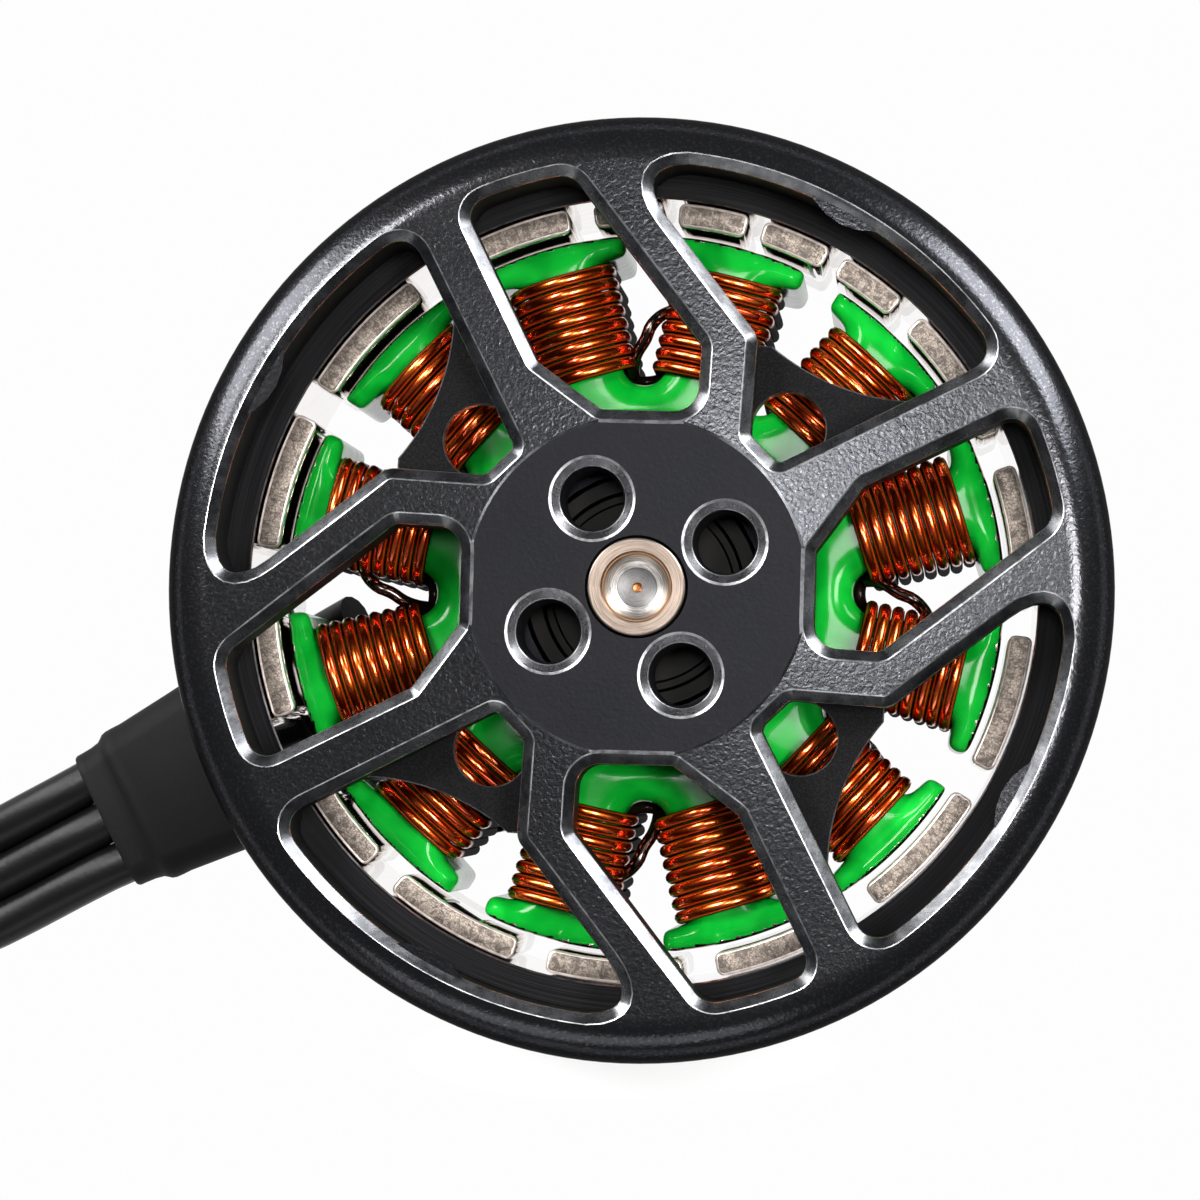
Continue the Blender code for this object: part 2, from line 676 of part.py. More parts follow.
def base_profile():
    """The base's turned part: disc, collar and bearing tube, bored from both ends for the bearings."""
    seat = BEARING_RADIUS + BEARING_SEAT_GAP
    land = BEARING_RADIUS - OUTER_RACE_WALL
    low_shoulder = LOWER_BEARING_Z + BEARING_WIDTH + BEARING_SEAT_GAP
    high_shoulder = UPPER_BEARING_Z - BEARING_SEAT_GAP
    return [
        (seat, TUBE_TOP),
        (TUBE_RADIUS - BASE_EDGE / 2, TUBE_TOP),
        (TUBE_RADIUS, TUBE_TOP - BASE_EDGE / 2),
        (TUBE_RADIUS, BASE_THICKNESS + COLLAR_HEIGHT),
        (COLLAR_RADIUS, BASE_THICKNESS + COLLAR_HEIGHT),
        (COLLAR_RADIUS, BASE_THICKNESS),
        (BASE_RADIUS - BASE_EDGE, BASE_THICKNESS),
        (BASE_RADIUS, BASE_THICKNESS - BASE_EDGE),
        (BASE_RADIUS, 0.0),
        (seat, 0.0),
        (seat, low_shoulder),
        (land, low_shoulder),
        (land, high_shoulder),
        (seat, high_shoulder),
    ]


def make_base(finish, parent):
    base = add_object("base", turned(base_profile(), 32), finish, parent)
    arms = bmesh.new()
    holes = bmesh.new()
    half = ARM_WIDTH / 2
    root = (BASE_RADIUS + BEARING_RADIUS) / 2
    end = [Vector((ARM_CIRCLE, 0)) + polar(half, 22.5 * step - 90.0) for step in range(9)]
    outline = [Vector((root, -half)), *end, Vector((root, half))]
    for arm in range(QUARTERS):
        azimuth = ARM_FIRST + 90.0 * arm
        add_prism(arms, turned_outline(outline, azimuth), 0.0, ARM_THICKNESS)
        centre = polar(ARM_CIRCLE, azimuth)
        rim = circle(MOUNT_HOLE_RADIUS, 12, centre)
        add_prism(holes, rim, -BASE_THICKNESS, 2 * BASE_THICKNESS)
    boolean(base, add_cutter("base_arms", arms), "UNION")
    boolean(base, add_cutter("base_holes", holes), "DIFFERENCE")
    return base


def tooth_outline():
    """One twelfth of the core's outline, about the tooth on +X: slot floor, flank, shoe, flank."""
    half_pitch = 180.0 / TEETH
    flank = TOOTH_WIDTH / 2
    floor_centre = polar(SLOT_FLOOR_PITCH, half_pitch)
    tip = half_pitch - SHOE_GAP / 2
    corners = [
        (Vector((SHOE_INNER, flank)), 0),
        (polar(STATOR_RADIUS - SHOE_TIP, tip), SHOE_TIP_FILLET),
        (polar(STATOR_RADIUS, tip), SHOE_TIP_FILLET),
        (polar(STATOR_RADIUS, tip / 2), 0),
        (polar(STATOR_RADIUS, 0.0), 0),
    ]
    upper = rounded([(Vector((SHOE_INNER - SHOE_TIP, flank)), 0), *corners], 90.0)[1:]
    quarter = 90.0 - half_pitch
    floor = [
        floor_centre + polar(SLOT_FLOOR_RADIUS, 180.0 + half_pitch + quarter * step / 2)
        for step in range(3)
    ]
    above = [*floor, *upper]
    below = [Vector((point.x, -point.y)) for point in above[1:-1]]
    return [*below, *reversed(above)]


def make_core(finish, parent):
    """The coated stator stack: twelve teeth with shoes on a yoke, its edges rounded by the coat."""
    outline = []
    for tooth in range(TEETH):
        outline += turned_outline(tooth_outline(), FIRST_TOOTH + 360.0 * tooth / TEETH)
    normals = inward(outline)
    levels = (
        (COAT_EDGE, CORE_BOTTOM),
        (0.0, CORE_BOTTOM + COAT_EDGE),
        (0.0, CORE_TOP - COAT_EDGE),
        (COAT_EDGE, CORE_TOP),
    )
    rings = []
    for into, height in levels:
        inset = [point + normal * into for point, normal in zip(outline, normals, strict=True)]
        rings.append([(point.x, point.y, height) for point in inset])
    shape = bmesh.new()
    add_loft(shape, rings)
    core = add_object("stator_core", shape, finish, parent)
    bore = circle(CORE_BORE, 40)
    cutter = prism(bore, CORE_BOTTOM - CORE_HEIGHT, CORE_TOP + CORE_HEIGHT)
    boolean(core, add_cutter("core_bore", cutter), "DIFFERENCE")
    return core


def winding_point(turn):
    """The wire's centre at a number of turns, and the way out of the coil there."""
    along = WINDING_START + WIRE_DIAMETER / 2 + WIRE_PITCH * turn
    share = turn / LAST_TURN
    wire_line = WIRE_TO_COAT + WIRE_DIAMETER / 2
    half_width = TOOTH_WIDTH / 2 + wire_line + WINDING_SPREAD * share
    half_height = CORE_HEIGHT / 2 + wire_line + WINDING_ARCH
    cut = WINDING_CORNER
    corners = (
        (half_width, -half_height + cut),
        (half_width, half_height - cut),
        (half_width - cut, half_height),
        (cut - half_width, half_height),
        (-half_width, half_height - cut),
        (-half_width, cut - half_height),
        (cut - half_width, -half_height),
        (half_width - cut, -half_height),
    )
    index = round(turn * len(corners)) % len(corners)
    here, before, after = (Vector(corners[(index + k) % 8]) for k in (0, -1, 1))
    forward, onward = (here - before).normalized(), (after - here).normalized()
    out = Vector(((forward + onward).y, -(forward + onward).x)).normalized()
    out /= out.dot(Vector((forward.y, -forward.x)))
    middle = (CORE_BOTTOM + CORE_TOP) / 2
    return Vector((along, here.x, middle + here.y)), Vector((0, out.x, out.y))


def make_windings(finish, parent):
    """One coil of wire on each tooth, a single layer whose turns lie side by side."""
    for tooth in range(TEETH):
        shape = bmesh.new()
        turn = Matrix.Rotation(math.radians(FIRST_TOOTH + 360.0 * tooth / TEETH), 3, "Z")
        radius = WIRE_DIAMETER / 2
        rings = []
        for step in range(round(8 * LAST_TURN) + 1):
            centre, out = winding_point(step / 8)
            ways = (Vector((1, 0, 0)), out, Vector((-1, 0, 0)), -out)
            rings.append([turn @ (centre + radius * way) for way in ways])
        add_loft(shape, rings)
        add_object(f"winding_{tooth + 1:02d}", shape, finish, parent)


def smooth_curve(points, step):
    """Points about a step apart on a smooth curve through the points given."""
    padded = [2 * points[0] - points[1], *points, 2 * points[-1] - points[-2]]
    fine = []
    for a, b, c, d in zip(padded, padded[1:], padded[2:], padded[3:]):
        for part in range(16):
            t = part / 16
            fine.append(
                0.5
                * (
                    2 * b
                    + (c - a) * t
                    + (2 * a - 5 * b + 4 * c - d) * t**2
                    + (3 * b - a - 3 * c + d) * t**3
                )
            )
    fine.append(points[-1].copy())
    return spaced(fine, step)


def spaced(line, step):
    """The line again, with an even number of lengths of about a step."""
    lengths = [(b - a).length for a, b in zip(line, line[1:])]
    count = max(2, round(sum(lengths) / step))
    wanted = sum(lengths) / count
    result = [line[0].copy()]
    walked, target = 0.0, wanted
    for a, b, length in zip(line, line[1:], lengths):
        while walked + length >= target and len(result) < count:
            result.append(a.lerp(b, (target - walked) / length))
            target += wanted
        walked += length
    result.append(line[-1].copy())
    return result


def trimmed(line, length):
    """The line's first stretch of a given length."""
    kept = [line[0]]
    left = length
    for a, b in zip(line, line[1:]):
        piece = (b - a).length
        if piece >= left:
            kept.append(a.lerp(b, left / piece))
            return kept
        kept.append(b)
        left -= piece
    return kept


def lead_line(lane):
    """The middle of one lead: the route, moved sideways by its lane."""
    middle = [Vector((along, across)) * MM for along, across, _, _ in LEAD_ROUTE]
    points = []
    for i, (_, _, height, spread) in enumerate(LEAD_ROUTE):
        before, after = middle[max(i - 1, 0)], middle[min(i + 1, len(middle) - 1)]
        way = (after - before).normalized()
        place = middle[i] + Vector((-way.y, way.x)) * lane * spread * MM
        points.append(exit_place(place.x, place.y, height * MM))
    return trimmed(smooth_curve(points, LEAD_RADIUS / 2), LEAD_LENGTH)


def exit_place(along, across, height):
    """World coordinates of a place given along the leads' exit, to the side of the middle lead, and up."""
    out = polar(1.0, EXIT_AZIMUTH)
    side = Vector((out.y, -out.x))
    place = out * along + side * (EXIT_SIDE + across)
    return Vector((place.x, place.y, height))


def make_lead(name, lane, finish, bare, parent):
    """One insulated lead as a tube, and its tinned end."""
    line = lead_line(lane)
    curve = bpy.data.curves.new(name, "CURVE")
    curve.dimensions = "3D"
    curve.bevel_depth = LEAD_RADIUS
    curve.bevel_resolution = 2
    curve.use_fill_caps = True
    curve.materials.append(finish)
    points = spaced(line, LEAD_STEP)
    spline = curve.splines.new("POLY")
    spline.points.add(len(points) - 1)
    for place, point in zip(spline.points, points, strict=True):
        place.co = (*point, 1.0)
    lead = bpy.data.objects.new(name, curve)
    bpy.context.scene.collection.objects.link(lead)
    lead.parent = parent

    way = (points[-1] - points[-2]).normalized()
    start = points[-1] + way * TIP_GAP
    shape = bmesh.new()
    bmesh.ops.create_cone(
        shape,
        cap_ends=True,
        segments=10,
        radius1=TIP_RADIUS,
        radius2=TIP_RADIUS,
        depth=TIP_LENGTH,
        matrix=Matrix.Translation(start + way * TIP_LENGTH / 2)
        @ way.to_track_quat("Z", "Y").to_matrix().to_4x4(),
    )
    add_object(f"{name}_tinned_end", shape, bare, parent)


def lead_spread(along):
    """How far the outer leads lie from the middle one, at a place of the route."""
    rows = [(row[0] * MM, row[3] * MM) for row in LEAD_ROUTE]
    for (start, before), (end, after) in zip(rows, rows[1:]):
        if start <= along <= end:
            return before + (after - before) * (along - start) / (end - start)
    return rows[0][1]


def sleeve_section(along, half_height):
    """One round-ended cross-section of the sleeve, as wide as the leads are spread there."""
    straight = lead_spread(along)
    points = []
    for side, first in ((1, -90.0), (-1, 90.0)):
        for step in range(7):
            spot = polar(half_height, first + 30.0 * step)
            points.append(exit_place(along, side * straight + spot.x, SLEEVE_HEIGHT + spot.y))
    return points


def make_sleeve(finish, parent):
    """The heat-shrink sleeve: a flattened tube, drawn in a little at its outer end."""
    inner = LEAD_RADIUS + SLEEVE_PLAY
    outer = inner + SLEEVE_WALL
    lip = outer - SLEEVE_LIP_STEP
    lip_start = SLEEVE_END - SLEEVE_LIP
    rows = [row[0] * MM for row in LEAD_ROUTE]
    bends = [along for along in rows if SLEEVE_START < along < lip_start - SLEEVE_LIP_STEP]
    sections = [(along, outer) for along in (SLEEVE_START, *bends, lip_start - SLEEVE_LIP_STEP)]
    sections += [(lip_start, lip), (SLEEVE_END, lip)]
    sections += [(along, inner) for along in (SLEEVE_END, *reversed(bends), SLEEVE_START)]
    shape = bmesh.new()
    add_loft(shape, [sleeve_section(*section) for section in sections], capped=False)
    add_object("lead_sleeve", shape, finish, parent)


def clear_scene():
    for old in list(bpy.data.objects):
        bpy.data.objects.remove(old)


def add_pivot(name, parent=None):
    """An empty on the shaft's axis, which carries what turns together."""
    pivot = bpy.data.objects.new(name, None)
    bpy.context.scene.collection.objects.link(pivot)
    pivot.parent = parent
    return pivot


def main():
    clear_scene()
    anodised = material("black_anodised_aluminium", (0.028, 0.028, 0.031), 0.42, 0.85)
    dark_steel = material("dark_steel", (0.018, 0.018, 0.02), 0.5, 0.8)
    nickel = material("nickel_plate", (0.42, 0.38, 0.33), 0.35, 1.0)
    green_coat = material("green_coat", (0.015, 0.24, 0.035), 0.16, 0.0)
    copper = material("enamelled_copper", (0.72, 0.2, 0.05), 0.22, 1.0)
    steel = material("bright_steel", (0.7, 0.66, 0.6), 0.22, 1.0)
    cage = material("cage_steel", (0.5, 0.45, 0.35), 0.35, 1.0)
    shrink = material("black_sleeve", (0.012, 0.012, 0.012), 0.6, 0.0)
    insulation = material("black_insulation", (0.014, 0.014, 0.014), 0.4, 0.0)
    tin = material("tinned_copper", (0.75, 0.75, 0.74), 0.3, 1.0)

    stator = add_pivot("stator_frame")
    rotor = add_pivot("rotor_axis", stator)
    make_base(anodised, stator)
    make_core(green_coat, stator)
    make_windings(copper, stator)

    make_bell(anodised, rotor)
    make_ring("flux_ring", RING_INNER, RING_OUTER, RING_BOTTOM, RING_TOP, BELL_STEPS, dark_steel, rotor)
    make_magnets(nickel, rotor)
    add_object("shaft", turned(shaft_profile(), 18), steel, rotor)
    make_clip(dark_steel, rotor)

    for name, bottom in (("lower", LOWER_BEARING_Z), ("upper", UPPER_BEARING_Z)):
        cage_axis = add_pivot(f"{name}_cage_axis", stator)
        make_bearing(f"{name}_bearing", bottom, (steel, cage), rotor, stator, cage_axis)
    shim_inner = SHAFT_RADIUS + RACE_GAP
    upper_shim = UPPER_BEARING_Z + BEARING_WIDTH + SHIM_GAP
    for name, bottom in (("lower", lower_shim_bottom()), ("upper", upper_shim)):
        top = bottom + SHIM_THICKNESS
        make_ring(f"{name}_shim", shim_inner, shim_inner + SHIM_WALL, bottom, top, 16, steel, rotor)

    make_sleeve(shrink, stator)
    for name, lane in (("lead_a", -1), ("lead_b", 0), ("lead_c", 1)):
        make_lead(name, lane, insulation, tin, stator)


main()
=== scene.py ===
import math

import bmesh
import bpy
from mathutils import Matrix, Vector, kdtree


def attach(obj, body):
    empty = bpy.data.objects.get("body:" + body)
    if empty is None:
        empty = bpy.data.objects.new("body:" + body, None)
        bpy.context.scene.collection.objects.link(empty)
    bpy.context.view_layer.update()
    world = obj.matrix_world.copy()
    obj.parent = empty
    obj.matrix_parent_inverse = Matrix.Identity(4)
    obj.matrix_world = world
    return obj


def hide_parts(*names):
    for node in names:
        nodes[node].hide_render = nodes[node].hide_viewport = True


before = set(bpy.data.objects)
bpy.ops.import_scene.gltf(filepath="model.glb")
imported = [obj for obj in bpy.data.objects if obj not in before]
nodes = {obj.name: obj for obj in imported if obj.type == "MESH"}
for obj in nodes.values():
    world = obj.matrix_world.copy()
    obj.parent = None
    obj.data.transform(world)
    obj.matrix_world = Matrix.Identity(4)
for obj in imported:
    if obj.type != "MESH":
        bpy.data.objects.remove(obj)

mm = 0.001
up = Vector((0, 0, 1))
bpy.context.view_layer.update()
print("frame loaded:", len(nodes), "nodes")


view = {
    "place": (12.5, -9.5, 265.0),  # mm, over the motor and a little to its lower right
    "aim": (-1.65, -0.6, 25.0),
    "lens": 159.0,
    "sensor": 36.0,
}
studio = {
    "floorSize": 3.0,  # m
    "floorShade": 0.82,
    "floorWhite": 0.985,
    "shadowShare": 0.36,
    "world": (0.11, 0.115, 0.125),
    # name: place, aim (mm), size across and up (mm), brightness, colour
    "softboxes": {
        "overhead": ((14, 41, 520), (0, 0, 20), (80, 80), 30.0, (1.0, 1.0, 1.0)),
        "over_left": ((-230, 190, 430), (0, 0, 20), (110, 170), 42.0, (1.0, 0.985, 0.96)),
        "over_right": ((200, -20, 470), (0, 0, 20), (110, 170), 40.0, (1.0, 0.985, 0.96)),
        "upper_left": ((-450, 310, 235), (0, 0, 10), (420, 250), 15.0, (1.0, 1.0, 1.0)),
        "upper_right": ((430, 350, 240), (0, 0, 10), (420, 280), 19.0, (0.97, 0.985, 1.0)),
        "low": ((-120, -510, 260), (0, 0, 10), (560, 220), 2.2, (1.0, 1.0, 1.0)),
    },
}


def aimed(place, target, top=(0, 1, 0)):
    back = (Vector(place) - Vector(target)).normalized()
    side = Vector(top).cross(back).normalized()
    turn = Matrix((side, back.cross(side), back)).transposed().to_4x4()
    return Matrix.Translation(Vector(place) * mm) @ turn


def placed(name, data):
    item = bpy.data.objects.new(name, data)
    bpy.context.scene.collection.objects.link(item)
    return item


def addCamera():
    made = bpy.data.cameras.new("camera")
    made.lens = view["lens"]
    made.sensor_width = view["sensor"]
    made.clip_start = 0.01
    made.clip_end = 20.0
    camera = placed("camera", made)
    camera.matrix_world = aimed(view["place"], view["aim"])
    bpy.context.scene.camera = camera


def addSoftbox(name, place, aim, size, brightness, colour):
    made = bpy.data.lights.new(name, "AREA")
    made.shape = "RECTANGLE"
    made.size, made.size_y = size[0] * mm, size[1] * mm
    made.energy = brightness * math.pi * made.size * made.size_y
    made.color = colour
    lamp = placed(name, made)
    lamp.matrix_world = aimed(place, aim, (0, 1, 0.3))


class Signal:
    # one output of a node: sums written with it add Math nodes
    def __init__(self, tree, socket):
        self.tree = tree
        self.socket = socket

    def maths(self, operation, *values):
        return addNode(self.tree, "ShaderNodeMath", {"operation": operation}, dict(enumerate(values)))

    def __add__(self, other):
        return self.maths("ADD", self, other)

    __radd__ = __add__

    def __sub__(self, other):
        return self.maths("SUBTRACT", self, other)

    def __rsub__(self, other):
        return self.maths("SUBTRACT", other, self)

    def __mul__(self, other):
        return self.maths("MULTIPLY", self, other)

    __rmul__ = __mul__

    def __truediv__(self, other):
        return self.maths("DIVIDE", self, other)

    def __pow__(self, other):
        return self.maths("POWER", self, other)

    def band(self, low, high):
        # 0 below low, 1 above high, smooth between
        return addNode(
            self.tree,
            "ShaderNodeMapRange",
            {"interpolation_type": "SMOOTHSTEP"},
            {"Value": self, "From Min": low, "From Max": high},
        )


def pick(sockets, key):
    if isinstance(key, int):
        return sockets[key]
    for socket in sockets:
        if key in (socket.identifier, socket.name):
            return socket
    raise KeyError(key)


def addNode(tree, kind, settings=None, values=None, output=0):
    made = tree.nodes.new(kind)
    for key, value in (settings or {}).items():
        if key == "stops":
            ramp = made.color_ramp
            while len(ramp.elements) < len(value):
                ramp.elements.new(0.5)
            for stop, (place, colour) in zip(ramp.elements, value):
                stop.position = place
                stop.color = (*colour, 1.0)
        else:
            setattr(made, key, value)
    for key, value in (values or {}).items():
        socket = pick(made.inputs, key)
        if isinstance(value, Signal):
            tree.links.new(value.socket, socket)
        else:
            socket.default_value = (*value, 1.0) if socket.type == "RGBA" and len(value) == 3 else value
    return Signal(tree, pick(made.outputs, output))


class Finish:
    # a Principled material and the signals that its pattern is built from
    def __init__(self, name, **constants):
        self.made = bpy.data.materials.new(name)
        self.made.use_nodes = True
        self.tree = self.made.node_tree
        self.shader = self.tree.nodes["Principled BSDF"]
        for key, value in constants.items():
            pick(self.shader.inputs, key.replace("_", " ")).default_value = value
        self.place = self.add("ShaderNodeTexCoord", output="Object")
        self.x, self.y, self.z = (
            self.add("ShaderNodeSeparateXYZ", values={0: self.place}, output=i) for i in range(3)
        )
        self.radius = (self.x**2 + self.y**2) ** 0.5

    def add(self, kind, settings=None, values=None, output=0):
        return addNode(self.tree, kind, settings, values, output)

    def feed(self, **links):
        for key, value in links.items():
            self.tree.links.new(value.socket, pick(self.shader.inputs, key.replace("_", " ")))

    def grain(self, size, detail=2.0, rough=0.5, place=None, distortion=0.0):
        # noise whose patches are about size mm across
        values = {
            "Vector": place or self.place,
            "Scale": 1 / (size * mm),
            "Detail": detail,
            "Roughness": rough,
            "Distortion": distortion,
        }
        return self.add("ShaderNodeTexNoise", values=values)

    def stretched(self, scale):
        return self.add("ShaderNodeVectorMath", {"operation": "MULTIPLY"}, {0: self.place, 1: scale})

    def combined(self, x, y, z):
        return self.add("ShaderNodeCombineXYZ", values={0: x, 1: y, 2: z})

    def azimuth(self):
        return self.place.maths("ARCTAN2", self.y, self.x)

    def mix(self, share, first, second):
        values = {"Factor_Float": share, "A_Color": first, "B_Color": second}
        return self.add("ShaderNodeMix", {"data_type": "RGBA"}, values, "Result_Color")

    def ramp(self, signal, *stops):
        return self.add("ShaderNodeValToRGB", {"stops": stops}, {0: signal})

    def cover(self, share, first, second, roughness):
        self.feed(Base_Color=self.mix(share, first, second), Roughness=roughness)

    def bump(self, height, depth):
        # depth in mm
        values = {"Height": height, "Distance": depth * mm, "Strength": 1.0}
        self.feed(Normal=self.add("ShaderNodeBump", values=values))


def satinBlack():
    # black anodised aluminium, peened: leathery grain, light speckle, a plainer and darker hub
    finish = Finish("satin_black", Metallic=0.92, Specular_IOR_Level=0.2, Specular_Tint=(0.0, 0.0, 0.0, 1.0))
    hub = finish.radius.band(7.74 * mm, 7.68 * mm)
    leather = finish.grain(0.22, 1.0, 0.4, distortion=0.6)
    fine = finish.grain(0.14, 1.0)
    patches = finish.grain(2.6, 2.0)
    speckle = finish.grain(0.15, 2.0, 0.7).band(0.5, 0.76)
    plain = finish.mix(patches, (0.026, 0.0265, 0.029), (0.036, 0.0365, 0.04))
    colour = finish.mix(speckle * (0.3 - 0.18 * hub), plain, (0.15, 0.15, 0.155))
    finish.cover(hub * 0.84, colour, (0.006, 0.006, 0.007), 0.16 + 0.08 * fine + 0.2 * hub)
    finish.bump(leather * (1 - 0.3 * hub) + fine * 0.3, 0.01)
    return finish.made


def machinedEdge(name="machined_edge", deep=(0.07, 0.071, 0.076), pale=(0.16, 0.162, 0.168)):
    # the chamfers: cut after anodising and dyed again, so smoother and greyer
    finish = Finish(name, Metallic=1.0)
    tool = finish.grain(0.3, 2.0)
    patches = finish.grain(1.3, 2.0)
    finish.cover(patches.band(0.3, 0.7), deep, pale, 0.2 + 0.16 * tool)
    finish.bump(tool, 0.006)
    return finish.made


def brightLine():
    # a lighter metal on the sharpest edges: partly worn anodising, partly a painted highlight along the edge
    # lines
    finish = Finish("bright_edge_line", Metallic=1.0)
    worn = finish.grain(0.9, 3.0, 0.7).band(0.34, 0.6)
    finish.cover(worn, (0.2, 0.2, 0.21), (0.5, 0.5, 0.51), 0.3 + 0.12 * finish.grain(0.2))
    return finish.made


def mattBlack():
    # milled walls and webs
    finish = Finish("matt_black", Specular_IOR_Level=0.04)
    milled = finish.grain(0.5, 2.0, place=finish.stretched((1, 1, 9)))
    fine = finish.grain(0.09, 2.0)
    finish.cover(fine.band(0.35, 0.75), (0.003, 0.003, 0.0034), (0.009, 0.009, 0.01), 0.5 + 0.14 * milled)
    finish.bump(milled * 0.5 + fine * 0.5, 0.008)
    return finish.made


def fluxSteel():
    # dark steel, turned on its faces: fine rings about the axis
    finish = Finish("flux_steel", Metallic=0.7, Specular_IOR_Level=0.08)
    around = finish.combined(finish.radius, finish.azimuth() * 0.00012, finish.z)
    rings = finish.grain(0.06, 2.0, place=around)
    finish.cover(rings.band(0.35, 0.7), (0.004, 0.004, 0.0045), (0.012, 0.012, 0.013), 0.4 + 0.18 * rings)
    finish.bump(rings, 0.006)
    return finish.made


def nickelPlate():
    # the magnets' ground faces: mottled, crackled and scratched
    finish = Finish("nickel_plate_face", Metallic=0.6)
    cells = finish.add(
        "ShaderNodeTexVoronoi", {"feature": "DISTANCE_TO_EDGE"}, {"Vector": finish.place, "Scale": 6500.0}
    )
    crackle = cells.band(0.0, 0.12)
    cloud = finish.grain(0.42, 4.0, 0.75, distortion=0.8)
    along = finish.combined(finish.azimuth() * 0.017, finish.radius * 0.14, finish.z)
    scratch = finish.grain(0.07, 3.0, 0.7, place=along)
    dark = cloud.band(0.58, 0.36) * 0.9 + scratch.band(0.56, 0.4) * 0.35
    body = finish.mix(0.25 + 0.75 * crackle, (0.04, 0.03, 0.024), (0.3, 0.25, 0.21))
    finish.cover(dark.maths("MINIMUM", dark, 0.92), body, (0.06, 0.048, 0.04), 0.3 + 0.2 * scratch)
    finish.bump(crackle * 0.2 + cloud * 0.6 + scratch * 0.5, 0.02)
    return finish.made


def nickelEdge():
    finish = Finish("nickel_plate_edge", Metallic=0.75)
    wear = finish.grain(0.35, 2.0)
    finish.cover(wear.band(0.3, 0.7), (0.72, 0.62, 0.57), (0.95, 0.88, 0.84), 0.3 + 0.12 * wear)
    return finish.made


def mirrorWall():
    # the walls of the air gap, ground smooth, which show the light from below
    finish = Finish("polished_wall", Metallic=1.0)
    wear = finish.grain(0.8, 2.0)
    finish.cover(wear, (0.8, 0.75, 0.72), (0.95, 0.92, 0.9), 0.05 + 0.06 * wear)
    return finish.made


def greenCoat():
    # powder coat on the stator: glossy, with a slow orange peel and slight flow marks
    finish = Finish("green_epoxy_coat", Coat_Weight=0.16, Coat_Roughness=0.1, Specular_IOR_Level=0.06)
    flow = finish.grain(2.4, 2.0, distortion=0.4)
    peel = finish.grain(0.8, 1.0)
    finish.cover(flow.band(0.3, 0.72), (0.0007, 0.25, 0.016), (0.006, 0.42, 0.034), 0.12 + 0.08 * peel)
    finish.bump(flow * 0.7 + peel * 0.3, 0.03)
    return finish.made


def enamelWire(name="enamelled_copper_wire", dark=False):
    finish = Finish(name, Coat_Roughness=0.12, Coat_IOR=1.6, Specular_IOR_Level=0.0)
    patches = finish.grain(1.1, 3.0, 0.6)
    drawn = finish.grain(0.12, 2.0)
    pale, deep = ((1.0, 0.17, 0.012), (0.95, 0.08, 0.002))
    if dark:
        pale, deep = ((0.035, 0.016, 0.01), (0.01, 0.007, 0.006))
    # painted shade: the wire goes near black, with no metal or coat, where it faces the turns beside it and
    # lower down towards the slots
    groove = finish.add("ShaderNodeAttribute", {"attribute_name": "groove"}, output="Fac")
    above = finish.z.band(15.4 * mm, 18.0 * mm)
    unshaded = above * groove.band(0.93, 0.5)
    varnish = finish.mix(patches.band(0.66, 0.36), pale, deep)
    finish.feed(
        Base_Color=finish.mix(unshaded, (0.008, 0.004, 0.003), varnish),
        Roughness=0.19 + 0.08 * patches,
        Metallic=0.05 + 0.95 * unshaded,
        Coat_Weight=unshaded,
    )
    finish.bump(drawn * 0.3 + patches, 0.006)
    return finish.made


def turnedSteel():
    # the shaft's head: rings of finer and coarser turning, colour by radius: orange-brown on the step and in
    # the centre hole, a painted highlight on the cone and the outer chamfer, and painted shade in a dark
    # ring at the cone's foot
    finish = Finish("turned_bright_steel", Metallic=1.0)
    around = finish.combined(finish.radius, finish.azimuth() * 0.00005, finish.z * 0.2)
    lines = finish.grain(0.03, 2.0, place=around)
    inner = finish.ramp(
        finish.radius / (1.2 * mm),
        (0.0, (0.5, 0.2, 0.07)), (0.175, (0.55, 0.24, 0.09)), (0.2, (0.12, 0.12, 0.125)),
        (0.735, (0.13, 0.135, 0.14)), (0.75, (0.06, 0.06, 0.063)),
        (0.78, (0.8, 0.8, 0.8)), (1.0, (0.8, 0.78, 0.76)),
    )
    outer = finish.ramp(
        (finish.radius - 1.2 * mm) / (1.1 * mm),
        (0.0, (0.5, 0.48, 0.46)), (0.2, (0.36, 0.31, 0.26)), (0.27, (0.16, 0.075, 0.035)),
        (0.36, (0.17, 0.1, 0.055)), (0.42, (0.22, 0.175, 0.145)),
        (0.85, (0.23, 0.185, 0.155)), (1.0, (0.42, 0.38, 0.35)),
    )
    colour = finish.mix(finish.radius.band(1.19 * mm, 1.21 * mm), inner, outer)
    finish.cover(lines.band(0.6, 0.4) * 0.6, colour, (0.08, 0.062, 0.05), 0.34 + 0.14 * lines)
    finish.bump(lines, 0.01)
    return finish.made


def plainSteel(name, pale, deep, roughness=0.26):
    # ground steel for the bearings, shims and clip
    finish = Finish(name, Metallic=1.0)
    around = finish.combined(finish.radius, finish.azimuth() * 0.0002, finish.z * 0.3)
    rings = finish.grain(0.05, 2.0, place=around)
    cloud = finish.grain(1.1, 2.0)
    finish.cover(rings * 0.6 + cloud * 0.4, deep, pale, roughness + 0.14 * rings)
    finish.bump(rings, 0.003)
    return finish.made


def blackRubber(name, colour, roughness, grainSize, shine):
    # lead insulation and heat-shrink: nearly black, slightly uneven
    finish = Finish(name, Specular_IOR_Level=shine)
    fine = finish.grain(grainSize, 2.0)
    slow = finish.grain(grainSize * 14, 2.0)
    lighter = tuple(part * 1.9 for part in colour)
    finish.cover(slow * 0.6 + fine * 0.4, colour, lighter, roughness + 0.14 * (slow - 0.5) + 0.08 * fine)
    finish.bump(fine * 0.5 + slow, 0.02)
    return finish.made


